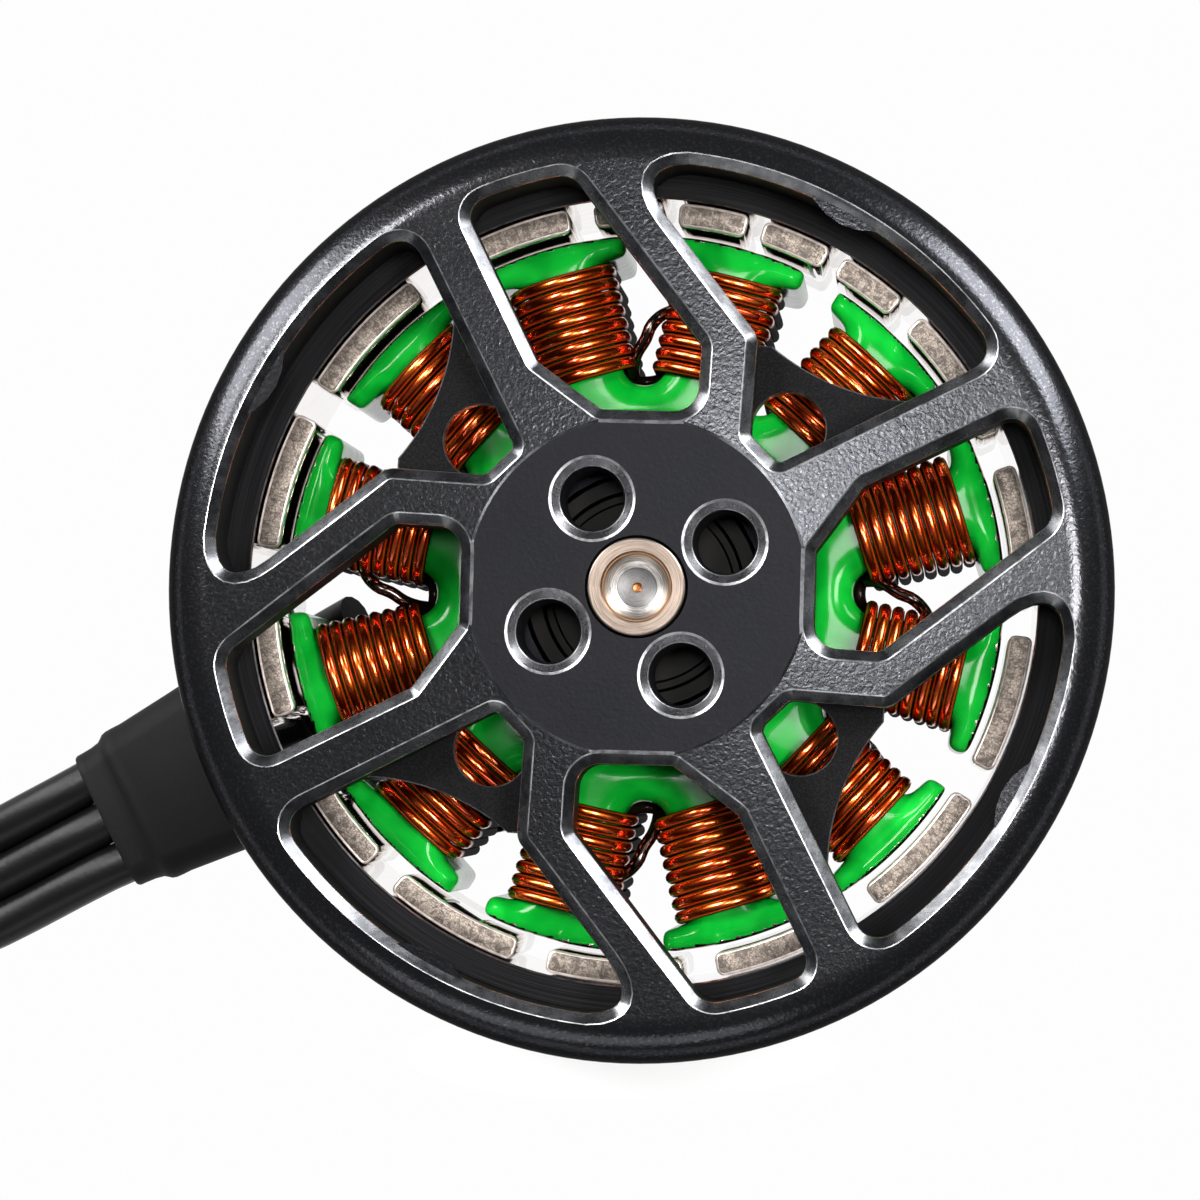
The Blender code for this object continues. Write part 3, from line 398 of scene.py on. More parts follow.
finishes = {
    "satinBlack": satinBlack(),
    "machinedEdge": machinedEdge(),
    "brightLine": brightLine(),
    "holeMouth": machinedEdge("countersunk_mouth", (0.12, 0.12, 0.125), (0.25, 0.25, 0.26)),
    "mattBlack": mattBlack(),
    "fluxSteel": fluxSteel(),
    "nickelPlate": nickelPlate(),
    "nickelEdge": nickelEdge(),
    "mirrorWall": mirrorWall(),
    "greenCoat": greenCoat(),
    "enamelWire": enamelWire(),
    # near-black enamel for the link wires between the coils
    "darkWire": enamelWire("near_black_enamel_wire", dark=True),
    "turnedSteel": turnedSteel(),
    "bearingSteel": plainSteel("bearing_steel", (0.78, 0.76, 0.73), (0.5, 0.48, 0.46)),
    # the upper bearing's parts: the same steel painted near black, a painted shade for their place deep
    # under the hub
    "shadedSteel": plainSteel("painted_shade_steel", (0.02, 0.019, 0.018), (0.008, 0.008, 0.008), 0.4),
    "cageSteel": plainSteel("cage_brass_steel", (0.62, 0.54, 0.4), (0.36, 0.31, 0.23), 0.32),
    "springSteel": plainSteel("spring_steel", (0.12, 0.12, 0.13), (0.05, 0.05, 0.055), 0.35),
    "tinned": plainSteel("tinned_wire", (0.8, 0.8, 0.78), (0.55, 0.55, 0.54), 0.28),
    "heatShrink": blackRubber("black_heat_shrink", (0.003, 0.003, 0.0032), 0.55, 0.16, 0.1),
    "insulation": blackRubber("black_lead_insulation", (0.002, 0.002, 0.0022), 0.34, 0.22, 0.16),
}
print("finishes made:", len(finishes))


def polar(radius, azimuth):
    # radius in metres, azimuth in degrees
    angle = math.radians(azimuth)
    return Vector((radius * math.cos(angle), radius * math.sin(angle), 0))


def turnedAbout(azimuth):
    return Matrix.Rotation(math.radians(azimuth), 4, "Z")


def cleanUp(shape):
    bmesh.ops.remove_doubles(shape, verts=shape.verts, dist=0.2e-6)
    bmesh.ops.recalc_face_normals(shape, faces=shape.faces)


def addPiece(name, shape, used, sharpAbove=30.0):
    # used: the keys of the piece's finishes, in the order of its face slots
    cleanUp(shape)
    mesh = bpy.data.meshes.new(name)
    shape.to_mesh(mesh)
    shape.free()
    for key in used:
        mesh.materials.append(finishes[key])
    mesh.shade_smooth()
    mesh.set_sharp_from_angle(angle=math.radians(sharpAbove))
    return placed(name, mesh)


def applied(piece):
    # the piece with its modifiers made part of its mesh
    bpy.context.view_layer.update()
    seen = piece.evaluated_get(bpy.context.evaluated_depsgraph_get())
    mesh = bpy.data.meshes.new_from_object(seen)
    piece.modifiers.clear()
    old = piece.data
    piece.data = mesh
    bpy.data.meshes.remove(old)
    return piece


def modify(piece, kind, **settings):
    step = piece.modifiers.new(kind.lower(), kind)
    for key, value in settings.items():
        setattr(step, key, value)


def cutWith(piece, tool, operation="DIFFERENCE"):
    modify(piece, "BOOLEAN", operation=operation, solver="EXACT", material_mode="TRANSFER", object=tool)
    applied(piece)
    bpy.data.objects.remove(tool)


def rideOn(piece, body, slot, *stands):
    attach(piece, body)
    if stands:
        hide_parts(*stands)
    return piece


def turned(profile, steps):
    # a solid of revolution from a closed outline of (radius, height) in mm
    shape = bmesh.new()
    points = [shape.verts.new((radius * mm, 0, height * mm)) for radius, height in profile]
    edges = [
        shape.edges.new((points[i - 1], points[i]))
        for i in range(len(points))
        if profile[i - 1][0] > 0 or profile[i][0] > 0
    ]
    bmesh.ops.spin(
        shape, geom=points + edges, cent=(0, 0, 0), axis=up, angle=2 * math.pi, steps=steps, use_merge=True
    )
    cleanUp(shape)
    return shape


def bevelled(shape, geom, offset, segments, affect="EDGES", material=-1):
    bmesh.ops.bevel(
        shape, geom=geom, offset=offset, offset_type="OFFSET", affect=affect,
        segments=segments, profile=0.5, material=material,
    )


def raised(shape, faces, height):
    # the faces extruded up by a height in metres
    lifted = bmesh.ops.extrude_face_region(shape, geom=faces)["geom"]
    tops = [item for item in lifted if isinstance(item, bmesh.types.BMVert)]
    bmesh.ops.translate(shape, verts=tops, vec=(0, 0, height))


def outlineFace(shape, corners, segments=7):
    # a flat face from (place, radius) corners, each rounded by the bevel operator
    points = [shape.verts.new((place.x, place.y, 0)) for place, radius in corners]
    shape.faces.new(points)
    count = len(corners)
    offsets = []
    for i, (place, radius) in enumerate(corners):
        back = corners[i - 1][0] - place
        ahead = corners[(i + 1) % count][0] - place
        offsets.append(radius / math.tan(back.angle(ahead) / 2) if radius else 0)
    for point, offset in zip(points, offsets):
        if offset:
            bevelled(shape, [point], offset, segments, "VERTICES")
    last = points[-1]
    face = last.link_faces[0] if last.is_valid else max(shape.faces, key=lambda item: item.index)
    face.normal_update()
    if face.normal.z < 0:
        face.normal_flip()
    return face


def grow(face, distance):
    # moves a flat face's outline out by a distance, corners mitred
    places = []
    for loop in face.loops:
        here = loop.vert.co
        before = (here - loop.link_loop_prev.vert.co).normalized()
        after = (loop.link_loop_next.vert.co - here).normalized()
        outBefore = before.cross(up)
        way = (outBefore + after.cross(up)).normalized()
        places.append(here + way * distance / max(0.5, way.dot(outBefore)))
    for loop, place in zip(face.loops, places):
        loop.vert.co = place


def stepTo(shape, face, into, rise, slot):
    # extrudes the face, moves the new one in and up, and gives the wall between a finish
    bmesh.ops.recalc_face_normals(shape, faces=[face])
    made = bmesh.ops.extrude_face_region(shape, geom=[face, *face.edges, *face.verts])["geom"]
    face = next(item for item in made if isinstance(item, bmesh.types.BMFace))
    face.normal_update()
    grow(face, -into if face.normal.z > 0 else into)
    bmesh.ops.translate(shape, verts=face.verts, vec=(0, 0, rise))
    for edge in face.edges:
        for wall in edge.link_faces:
            if wall is not face:
                wall.material_index = slot
    return face


addCamera()
for name, values in studio["softboxes"].items():
    addSoftbox(name, *values)

leads = {
    "exitAzimuth": 206.6,
    "exitSide": 2.7,
    "radius": 1.09,
    "length": 82.0,
    "spacing": 1.1,
    # out along the exit, to its side, height, and how far the outer leads lie from the middle one
    "route": (
        (13.6, 0.0, 5.0, 3.4), (15.0, 0.0, 4.2, 3.4), (16.4, 0.0, 3.2, 3.4), (17.6, 0.0, 3.0, 3.4),
        (20.0, 0.0, 3.0, 3.2), (24.0, 0.0, 3.0, 2.8), (29.4, 0.0, 3.0, 2.2), (30.6, 0.0, 2.92, 2.15),
        (32.6, 0.0, 2.5, 2.14), (35.0, 0.0, 1.75, 2.15), (37.4, 0.1, 1.2, 2.2), (40.6, 0.5, 1.1, 2.35),
        (44.0, 1.6, 1.1, 2.5), (47.3, 3.6, 1.1, 2.65), (50.2, 6.4, 1.1, 2.8), (52.3, 9.8, 1.1, 2.9),
        (53.6, 13.6, 1.1, 3.0), (54.0, 17.6, 1.1, 3.1), (53.4, 21.6, 1.1, 3.3), (52.0, 25.4, 1.1, 3.5),
        (49.8, 29.0, 1.1, 3.8), (47.2, 32.1, 1.1, 4.1), (44.2, 34.9, 1.1, 4.4), (41.0, 37.4, 1.1, 4.7),
        (37.6, 39.5, 1.1, 5.0), (34.0, 41.0, 1.1, 5.2), (30.2, 42.0, 1.1, 5.4),
    ),
}


def exitPlace(along, across, height):
    out = polar(1.0, leads["exitAzimuth"])
    side = Vector((out.y, -out.x, 0))
    return (out * along + side * (leads["exitSide"] + across) + up * height) * mm


def onCurve(a, b, c, d, t):
    # a share t of the way from b to c, on the smooth curve through all four
    return 0.5 * (
        2 * b + (c - a) * t + (2 * a - 5 * b + 4 * c - d) * t**2 + (3 * b - a - 3 * c + d) * t**3
    )


def smoothCurve(points, parts=24):
    padded = [2 * points[0] - points[1], *points, 2 * points[-1] - points[-2]]
    fine = []
    for a, b, c, d in zip(padded, padded[1:], padded[2:], padded[3:]):
        for part in range(parts):
            t = part / parts
            fine.append(onCurve(a, b, c, d, t))
    fine.append(points[-1].copy())
    return fine


def evenly(line, spacing, length=None):
    # places a spacing apart along a line, up to a length
    lengths = [(b - a).length for a, b in zip(line, line[1:])]
    whole = min(length or sum(lengths), sum(lengths))
    count = max(2, round(whole / spacing))
    result = [line[0].copy()]
    walked, wanted = 0.0, whole / count
    for a, b, piece in zip(line, line[1:], lengths):
        while walked + piece >= wanted * len(result) - 1e-12 and len(result) <= count:
            result.append(a.lerp(b, (wanted * len(result) - walked) / piece))
        walked += piece
    return result


def leadLine(lane):
    middle = [Vector((along, across)) for along, across, _, _ in leads["route"]]
    points = []
    for i, (_, _, height, spread) in enumerate(leads["route"]):
        way = (middle[min(i + 1, len(middle) - 1)] - middle[max(i - 1, 0)]).normalized()
        place = middle[i] + Vector((-way.y, way.x)) * lane * spread
        points.append(exitPlace(place.x, place.y, height))
    return evenly(smoothCurve(points), leads["spacing"] * mm, leads["length"] * mm)


def addTube(name, points, radius, key, resolution=5, cyclic=False):
    curve = bpy.data.curves.new(name, "CURVE")
    curve.dimensions = "3D"
    curve.bevel_depth = radius
    curve.bevel_resolution = resolution
    curve.use_fill_caps = True
    curve.materials.append(finishes[key])
    spline = curve.splines.new("POLY")
    spline.points.add(len(points) - 1)
    for place, point in zip(spline.points, points):
        place.co = (*point, 1.0)
    spline.use_smooth = True
    spline.use_cyclic_u = cyclic
    return placed(name, curve)


def addLeads():
    for name, lane in (("lead_a", -1), ("lead_b", 0), ("lead_c", 1)):
        points = leadLine(lane)
        cord = addTube(f"{name}_insulated", points, leads["radius"] * mm, "insulation")
        rideOn(cord, "stator", "black_insulation", name)


sleeve = {
    "start": 18.2,
    "end": 29.4,
    "height": 3.0,
    "outer": 1.53,
    "bore": 1.14,
    # share of the length, how much thicker: drawn in at the outer end, behind a soft shoulder
    "sections": (
        (0.0, 0.0), (0.16, -0.02), (0.36, 0.02), (0.52, 0.0), (0.66, 0.02), (0.76, 0.03), (0.8, 0.08),
        (0.83, 0.1), (0.85, 0.06), (0.865, -0.06), (0.88, -0.16), (0.92, -0.2), (0.965, -0.18),
        (0.99, -0.16), (1.0, -0.22),
    ),
}


def leadSpread(along):
    rows = [(row[0], row[3]) for row in leads["route"]]
    for (start, before), (end, after) in zip(rows, rows[1:]):
        if start <= along <= end:
            return before + (after - before) * (along - start) / (end - start)
    return rows[0][1]


def sleeveRing(shape, along, halfHeight):
    # a round-ended loop: a circle, its two halves drawn apart as far as the leads are
    ring = bmesh.ops.create_circle(shape, segments=32, radius=halfHeight)["verts"]
    for vert in ring:
        if abs(vert.co.x) > 1e-6:
            vert.co.x += math.copysign(leadSpread(along), vert.co.x)
        vert.co = exitPlace(along, vert.co.x, sleeve["height"] + vert.co.y)
    return [edge for edge in shape.edges if edge.verts[0] in ring and edge.verts[1] in ring]


def addSleeve():
    shape = bmesh.new()
    length = sleeve["end"] - sleeve["start"]
    rings = [
        sleeveRing(shape, sleeve["start"] + share * length, sleeve["outer"] + thicker)
        for share, thicker in sleeve["sections"]
    ]
    for along in (sleeve["end"], 24.0, 20.0, sleeve["start"]):
        rings.append(sleeveRing(shape, along, sleeve["bore"]))
    rings.append(rings[0])
    for first, second in zip(rings, rings[1:]):
        bmesh.ops.bridge_loops(shape, edges=first + second)
    piece = addPiece("heat_shrink_sleeve", shape, ["heatShrink"], 40.0)
    return rideOn(piece, "stator", "black_sleeve", "lead_sleeve")


addSleeve()
addLeads()
print("camera, lights, sleeve and leads made")


bell = {
    "radius": 21.75,
    "top": 25.0,
    "rimFillet": 2.2,
    "rimDrop": 0.6,
    "hubRadius": 7.7,
    "hubStep": 0.12,
    "hubDepth": 4.6,
    "bossRadius": 3.1,
    "bossBottom": 19.4,
    "skirtBore": 19.9,
    "skirtBottom": 6.0,
    "shoulderInner": 18.9,
    "shoulderBottom": 19.8,
    "spokeBottom": 21.0,
    "shaftBore": 2.35,
    "ringTop": 19.5,
    "steps": 160,
    "chamfer": 0.5,
    "edgeLine": 0.055,
    "sharpAbove": 19.0,  # degrees
    "evenWeight": 60,
    "innerDarkBelow": 22.5,
    "skirtFace": 0.5,
    # cut-outs: rim width, the rim's two corners and then the others, from the axis. Each corner is
    # radius (None on the rim), azimuth and its rounding.
    "plain": (2.05, (
        (None, 116.0, 1.4), (None, 98.2, 1.5), (11.72, 72.9, 1.0),
        (8.15, 66.9, 1.6), (7.85, 103.3, 0.7), (11.16, 116.3, 0.9),
    )),
    "webbed": (1.75, (
        (None, 94.4, 2.0), (None, 31.0, 1.6), (8.04, 38.4, 0.8), (8.2, 55.4, 0.8), (12.36, 66.1, 0.5),
    )),
    "webTop": 21.8,
    "webThickness": 1.1,
    "webReach": 12.6,
    "webArc": 10.5,
    "webArcAzimuth": 55.8,
    "webArcEnds": (229.0, 275.5),
    "webHole": 1.7,
    "webHolePlace": (10.05, 47.0),
    "propHole": 1.5,
    "propHolePlace": (4.5, 26.65),
    "threadPitch": 0.5,
    "threadDepth": 0.13,
}


def topHeight(radius):
    # mm in, mm out
    start = bell["radius"] - bell["rimFillet"]
    if radius <= bell["hubRadius"]:
        return bell["top"]
    slope = bell["rimDrop"] / (start - bell["hubRadius"])
    if radius <= start:
        return bell["top"] - bell["hubStep"] - slope * (radius - bell["hubRadius"])
    into = min(radius - start, bell["rimFillet"])
    low = bell["top"] - bell["hubStep"] - bell["rimDrop"] - bell["rimFillet"]
    return low + math.sqrt(bell["rimFillet"] ** 2 - into**2)


def bellBlank():
    rim = bell["radius"]
    edge = rim - bell["rimFillet"]
    profile = [
        (0.0, bell["top"]),
        (bell["hubRadius"], bell["top"]),
        (bell["hubRadius"] + bell["hubStep"], bell["top"] - bell["hubStep"]),
        (edge, topHeight(edge)),
        (rim, topHeight(rim)),
        (rim, bell["skirtBottom"] + 0.25),
        (rim - 0.25, bell["skirtBottom"]),
        (bell["skirtBore"] + 0.15, bell["skirtBottom"]),
        (bell["skirtBore"], bell["skirtBottom"] + 0.15),
        (bell["skirtBore"], bell["shoulderBottom"]),
        (bell["shoulderInner"], bell["shoulderBottom"]),
        (bell["shoulderInner"], bell["spokeBottom"]),
        (bell["hubRadius"], bell["spokeBottom"]),
        (bell["hubRadius"], bell["top"] - bell["hubDepth"]),
        (bell["bossRadius"], bell["top"] - bell["hubDepth"]),
        (bell["bossRadius"], bell["bossBottom"]),
        (0.0, bell["bossBottom"]),
    ]
    low = topHeight(rim)
    fillet = bell["rimFillet"]
    arc = [
        (edge + fillet * math.sin(math.radians(turn)), low + fillet * math.cos(math.radians(turn)))
        for turn in range(9, 90, 9)
    ]
    return turned(profile[:4] + arc + profile[4:], bell["steps"])


def cutOutCorners(kind):
    rimWidth, rows = bell[kind]
    rim = (bell["radius"] - rimWidth) * mm
    places = [
        (polar(rim if radius is None else radius * mm, azimuth), size * mm) for radius, azimuth, size in rows
    ]
    # the rim's plain stretch runs between the two rim corners' roundings
    between = []
    ends = []
    for (place, size), neighbour, side, azimuth in (
        (places[0], places[-1][0], -1, rows[0][1]),
        (places[1], places[2][0], 1, rows[1][1]),
    ):
        along = side * polar(1.0, azimuth + 90.0)
        reach = size / math.tan(along.angle(neighbour - place) / 2)
        ends.append(azimuth + side * (math.degrees(reach / rim) + 0.8))
    steps = max(2, round((ends[0] - ends[1]) / 2.0))
    for step in range(steps + 1):
        between.append((polar(rim, ends[0] + (ends[1] - ends[0]) * step / steps), 0))
    return [places[0], *between, *places[1:]]


def addCutOut(shape, kind, quarter):
    # from above the bell down: lip, chamfer, second lip, wall
    face = outlineFace(shape, cutOutCorners(kind), 8)
    chamfer, line = bell["chamfer"] * mm, bell["edgeLine"] * mm
    before = set(shape.verts) - set(face.verts)
    grow(face, 0.3 * mm)
    bmesh.ops.translate(shape, verts=face.verts, vec=(0, 0, 0.13 * mm))
    # slot 1, the lips, takes the bright edge line, partly a painted highlight
    for into, drop, slot in (
        (0.3 * mm + line * 0.3, 0.13 * mm + line * 0.5, 1),
        (chamfer - line, chamfer - line, 0),
        (line * 0.5, line * 1.3, 1),
    ):
        face = stepTo(shape, face, into, -drop, slot)
    mouth = [vert for vert in shape.verts if vert not in before]
    for vert in mouth:
        vert.co.z += topHeight(vert.co.to_2d().length / mm) * mm
    face = stepTo(shape, face, 0, 0, 2)
    for vert in face.verts:
        vert.co.z = bell["ringTop"] * mm
    made = [vert for vert in shape.verts if vert not in before]
    bmesh.ops.transform(shape, matrix=turnedAbout(90.0 * quarter), verts=made)


def addWeb(shape, quarter):
    centre = polar((bell["webReach"] + bell["webArc"]) * mm, bell["webArcAzimuth"])
    first, last = bell["webArcEnds"]
    edge = [
        (centre + polar(bell["webArc"] * mm, first + (last - first) * step / 24), 0) for step in range(25)
    ]
    foot, root, bend = [polar(radius * mm, azimuth) for radius, azimuth, _ in bell["webbed"][1][2:]]
    straight = (polar(bell["radius"] * mm, bell["webbed"][1][1][1]) - foot).normalized()
    aside = Vector((straight.y, -straight.x, 0)) * 0.8 * mm
    corners = [
        *edge,
        (edge[-1][0] + aside, 0),
        (foot + aside, 0),
        (polar((bell["hubRadius"] - 0.8) * mm, 46.9), 0),
        (root + Vector((-0.8 * mm, 0, 0)), 0),
        (bend + Vector((-0.8 * mm, 0, 0)), 0),
    ]
    before = set(shape.verts)
    face = outlineFace(shape, corners)
    bmesh.ops.translate(shape, verts=face.verts, vec=(0, 0, (bell["webTop"] - bell["webThickness"]) * mm))
    face = stepTo(shape, face, 0, (bell["webThickness"] - 0.07) * mm, 0)
    face = stepTo(shape, face, 0.06 * mm, 0.07 * mm, 1)
    face.material_index = 0
    made = [vert for vert in shape.verts if vert not in before]
    bmesh.ops.transform(shape, matrix=turnedAbout(90.0 * quarter), verts=made)


def addRoundCut(shape, centre, levels):
    # a round cutter from (radius, height, slot) levels in mm, the slot being that of the wall above
    before = set(shape.verts)
    radius, height, slot = levels[0]
    ring = bmesh.ops.create_circle(shape, cap_ends=True, segments=48, radius=radius * mm)["verts"]
    face = next(face for face in ring[0].link_faces)
    bmesh.ops.translate(shape, verts=ring, vec=(0, 0, height * mm))
    for above, (radius, height, slot) in zip(levels, levels[1:]):
        face = stepTo(shape, face, 0, (height - above[1]) * mm, slot)
        bmesh.ops.scale(shape, verts=face.verts, vec=(radius / above[0], radius / above[0], 1))
    made = [vert for vert in shape.verts if vert not in before]
    bmesh.ops.translate(shape, verts=made, vec=centre)


def addBore(shape, radius, low, high):
    # a plain round cutter on the axis, 1 mm longer at both ends
    addRoundCut(shape, (0, 0, 0), ((radius, low - 1, 0), (radius, high + 1, 0)))


def propHoleLevels():
    # threaded wall, then a chamfered mouth with a thin lip
    radius, top = bell["propHole"], bell["top"]
    low = top - bell["hubDepth"] - 0.3
    levels = [(radius, low, 2)]
    height = low
    while height < top - 1.0 - bell["threadPitch"]:
        height += bell["threadPitch"] * 0.5
        levels.append((radius - bell["threadDepth"], height, 2))
        height += bell["threadPitch"] * 0.5
        levels.append((radius, height, 2))
    levels += [
        (radius, top - 0.44, 2),
        (radius + 0.04, top - 0.4, 1),
        (radius + 0.36, top - 0.05, 0),
        (radius + 0.7, top + 0.09, 1),
    ]
    return levels


def addBell():
    blank = bellBlank()
    for face in blank.faces:
        away = face.calc_center_median().to_2d().length / mm - bell["hubRadius"]
        if 0 < away < bell["hubStep"] and face.normal.z > 0.3:
            face.material_index = 3
    piece = addPiece("spoked_bell", blank, ["satinBlack", "brightLine", "mattBlack", "machinedEdge"])
    cuts = bmesh.new()
    for quarter in range(4):
        addCutOut(cuts, "plain", quarter)
        addCutOut(cuts, "webbed", quarter)
    cutWith(piece, addPiece("cut_outs", cuts, ["machinedEdge", "brightLine", "mattBlack"]))
    webs = bmesh.new()
    for quarter in range(4):
        addWeb(webs, quarter)
    cutWith(piece, addPiece("webs", webs, ["mattBlack", "brightLine"]), "UNION")
    holes = bmesh.new()
    top = bell["webTop"]
    webLevels = (
        (bell["webHole"], top - 2.0, 0),
        (bell["webHole"], top - 0.06, 0),
        (bell["webHole"] + 0.12, top + 0.06, 1),
    )
    addBore(holes, bell["shaftBore"], bell["bossBottom"], bell["top"])
    for quarter in range(4):
        for key, levels in (("webHolePlace", webLevels), ("propHolePlace", propHoleLevels())):
            away, azimuth = bell[key]
            addRoundCut(holes, polar(away * mm, azimuth + 90 * quarter), levels)
    used = ["holeMouth", "brightLine", "mattBlack"]
    cutWith(piece, addPiece("round_cuts", holes, used))
    mesh = piece.data
    # inside the skirt, all that lies below the spokes' upper part is milled
    dark = mesh.materials.find("matt_black")
    for face in mesh.polygons:
        inside = face.center.to_2d().length < (bell["radius"] - bell["skirtFace"]) * mm
        if face.material_index == 0 and inside and face.center.z < bell["innerDarkBelow"] * mm:
            face.material_index = dark
    mesh.shade_smooth()
    mesh.set_sharp_from_angle(angle=math.radians(bell["sharpAbove"]))
    modify(piece, "WEIGHTED_NORMAL", keep_sharp=True, weight=bell["evenWeight"])
    applied(piece)
    return rideOn(piece, "rotor", "black_anodised_aluminium", "bell")


addBell()
print("bell made")


fluxRing = {"inner": 18.3, "outer": 19.8, "bottom": 6.8, "top": 19.5, "edge": 0.07, "steps": 160}


def addFluxRing():
    ring = fluxRing
    edge = ring["edge"]
    profile = [
        (ring["outer"], ring["top"] - edge),
        (ring["outer"], ring["bottom"]),
        (ring["inner"], ring["bottom"]),
        (ring["inner"], ring["top"] - edge),
        (ring["inner"] + edge, ring["top"]),
        (ring["outer"] - edge, ring["top"]),
    ]
    shape = turned(profile, ring["steps"])
    for face in shape.faces:
        middle = face.calc_center_median()
        # the inner top edge takes the bright edge line, a painted highlight
        if abs(middle.to_2d().length / mm - ring["inner"] - edge / 2) < edge / 2 and face.normal.z > 0.3:
            face.material_index = 1
        elif face.normal.dot(middle * Vector((1, 1, 0))) < 0 and abs(face.normal.z) < 0.1:
            face.material_index = 2
    piece = addPiece("turned_flux_ring", shape, ["fluxSteel", "brightLine", "mirrorWall"], 25.0)
    return rideOn(piece, "rotor", "dark_steel", "flux_ring")


magnets = {
    "inner": 17.1, "outer": 18.2, "bottom": 7.1, "top": 19.2, "poles": 14, "firstGap": 355.7,
    "span": 20.7, "halfSpan": 10.5, "splitPoles": (2, 3), "corner": 0.32, "edge": 0.12,
}


def magnetPlaces():
    pitch = 360.0 / magnets["poles"]
    places = []
    for pole in range(magnets["poles"]):
        start = magnets["firstGap"] + pitch * pole
        if pole in magnets["splitPoles"]:
            places += [(start + pitch * share, magnets["halfSpan"]) for share in (0.25, 0.75)]
        else:
            places.append((start + pitch / 2, magnets["span"]))
    return places


def addMagnet(number, centre, span):
    shape = bmesh.new()
    ends = [shape.verts.new(polar(magnets[key] * mm, centre - span / 2)) for key in ("inner", "outer")]
    edge = shape.edges.new(ends)
    bmesh.ops.spin(
        shape, geom=[*ends, edge], cent=(0, 0, 0), axis=up, angle=math.radians(span),
        steps=max(4, round(span / 1.7)),
    )
    bmesh.ops.translate(shape, verts=shape.verts, vec=(0, 0, magnets["bottom"] * mm))
    raised(shape, list(shape.faces), (magnets["top"] - magnets["bottom"]) * mm)
    cleanUp(shape)
    half = math.radians(span / 2)
    upright = [
        edge for edge in shape.edges
        if abs(edge.verts[0].co.z - edge.verts[1].co.z) > mm
        and abs(polar(1, centre).angle(edge.verts[0].co * Vector((1, 1, 0))) - half) < 0.001
    ]
    bevelled(shape, upright, magnets["corner"] * mm, 4)
    for level in ("top", "bottom"):
        flat = [
            edge for edge in shape.edges
            if all(abs(vert.co.z - magnets[level] * mm) < 1e-7 for vert in edge.verts)
            and sum(abs(face.normal.z) > 0.9 for face in edge.link_faces) == 1
        ]
        bevelled(shape, flat, magnets["edge"] * mm, 2, material=1)
    for face in shape.faces:
        if abs(face.normal.z) < 0.1:
            face.material_index = 2
    used = ["nickelPlate", "nickelEdge", "mirrorWall"]
    piece = addPiece(f"plated_magnet_{number:02d}", shape, used, 50.0)
    return rideOn(piece, "rotor", "nickel_plate", f"magnet_{number:02d}")


addFluxRing()
for number, (centre, span) in enumerate(magnetPlaces(), 1):
    addMagnet(number, centre, span)
print("flux ring and magnets made")


stator = {
    "teeth": 12, "firstTooth": 15.0, "bottom": 7.2, "top": 17.8, "radius": 16.8, "bore": 7.55, "yoke": 9.7,
    "toothWidth": 3.4, "shoeInner": 15.55, "shoeTip": 0.95, "shoeGap": 5.8,
    "slotPitch": 10.79, "slotFloor": 1.09,
    "shortened": 6.6,  # the straight middle, left out while the coat is rounded
    "voxel": 0.19, "rounds": 12,
    "domeReach": 1.15, "domeHeight": 0.62, "domeAbove": 0.75, "settling": 6,
    "outlineStep": 0.12, "shoeFace": 16.4,
}


def toothAzimuth(tooth):
    return stator["firstTooth"] + 360.0 * tooth / stator["teeth"]


def toothCorners():
    # one twelfth of the outline about +X, in metres, from the slot's floor to the shoe and back
    half = 180.0 / stator["teeth"]
    flank = stator["toothWidth"] / 2
    tip = half - stator["shoeGap"] / 2
    centre = polar(stator["slotPitch"], half)
    quarter = 90.0 - half
    upper = [centre + polar(stator["slotFloor"], 180.0 + half + quarter * step / 4) for step in range(5)]
    upper += [
        Vector((stator["shoeInner"] - 0.55, flank, 0)),
        Vector((stator["shoeInner"] - 0.1, flank + 0.3, 0)),
        polar(stator["radius"] - stator["shoeTip"] - 0.02, tip),
        polar(stator["radius"], tip),
        *(polar(stator["radius"], tip * share) for share in (0.75, 0.5, 0.25)),
    ]
    lower = [Vector((point.x, -point.y, 0)) for point in upper[1:]]
    return [point * mm for point in [*lower, polar(stator["radius"], 0), *reversed(upper)]]


def outlineTree():
    # places close together along the coat's outline, to measure from
    places = []
    for tooth in range(stator["teeth"]):
        turn = turnedAbout(toothAzimuth(tooth))
        corners = [turn @ corner for corner in toothCorners()]
        for a, b in zip(corners, corners[1:]):
            steps = max(1, round((b - a).length / (stator["outlineStep"] * mm)))
            places += [a.lerp(b, step / steps) for step in range(steps)]
    places += [polar(stator["bore"] * mm, azimuth) for azimuth in range(0, 360)]
    tree = kdtree.KDTree(len(places))
    for index, place in enumerate(places):
        tree.insert(place, index)
    tree.balance()
    return tree


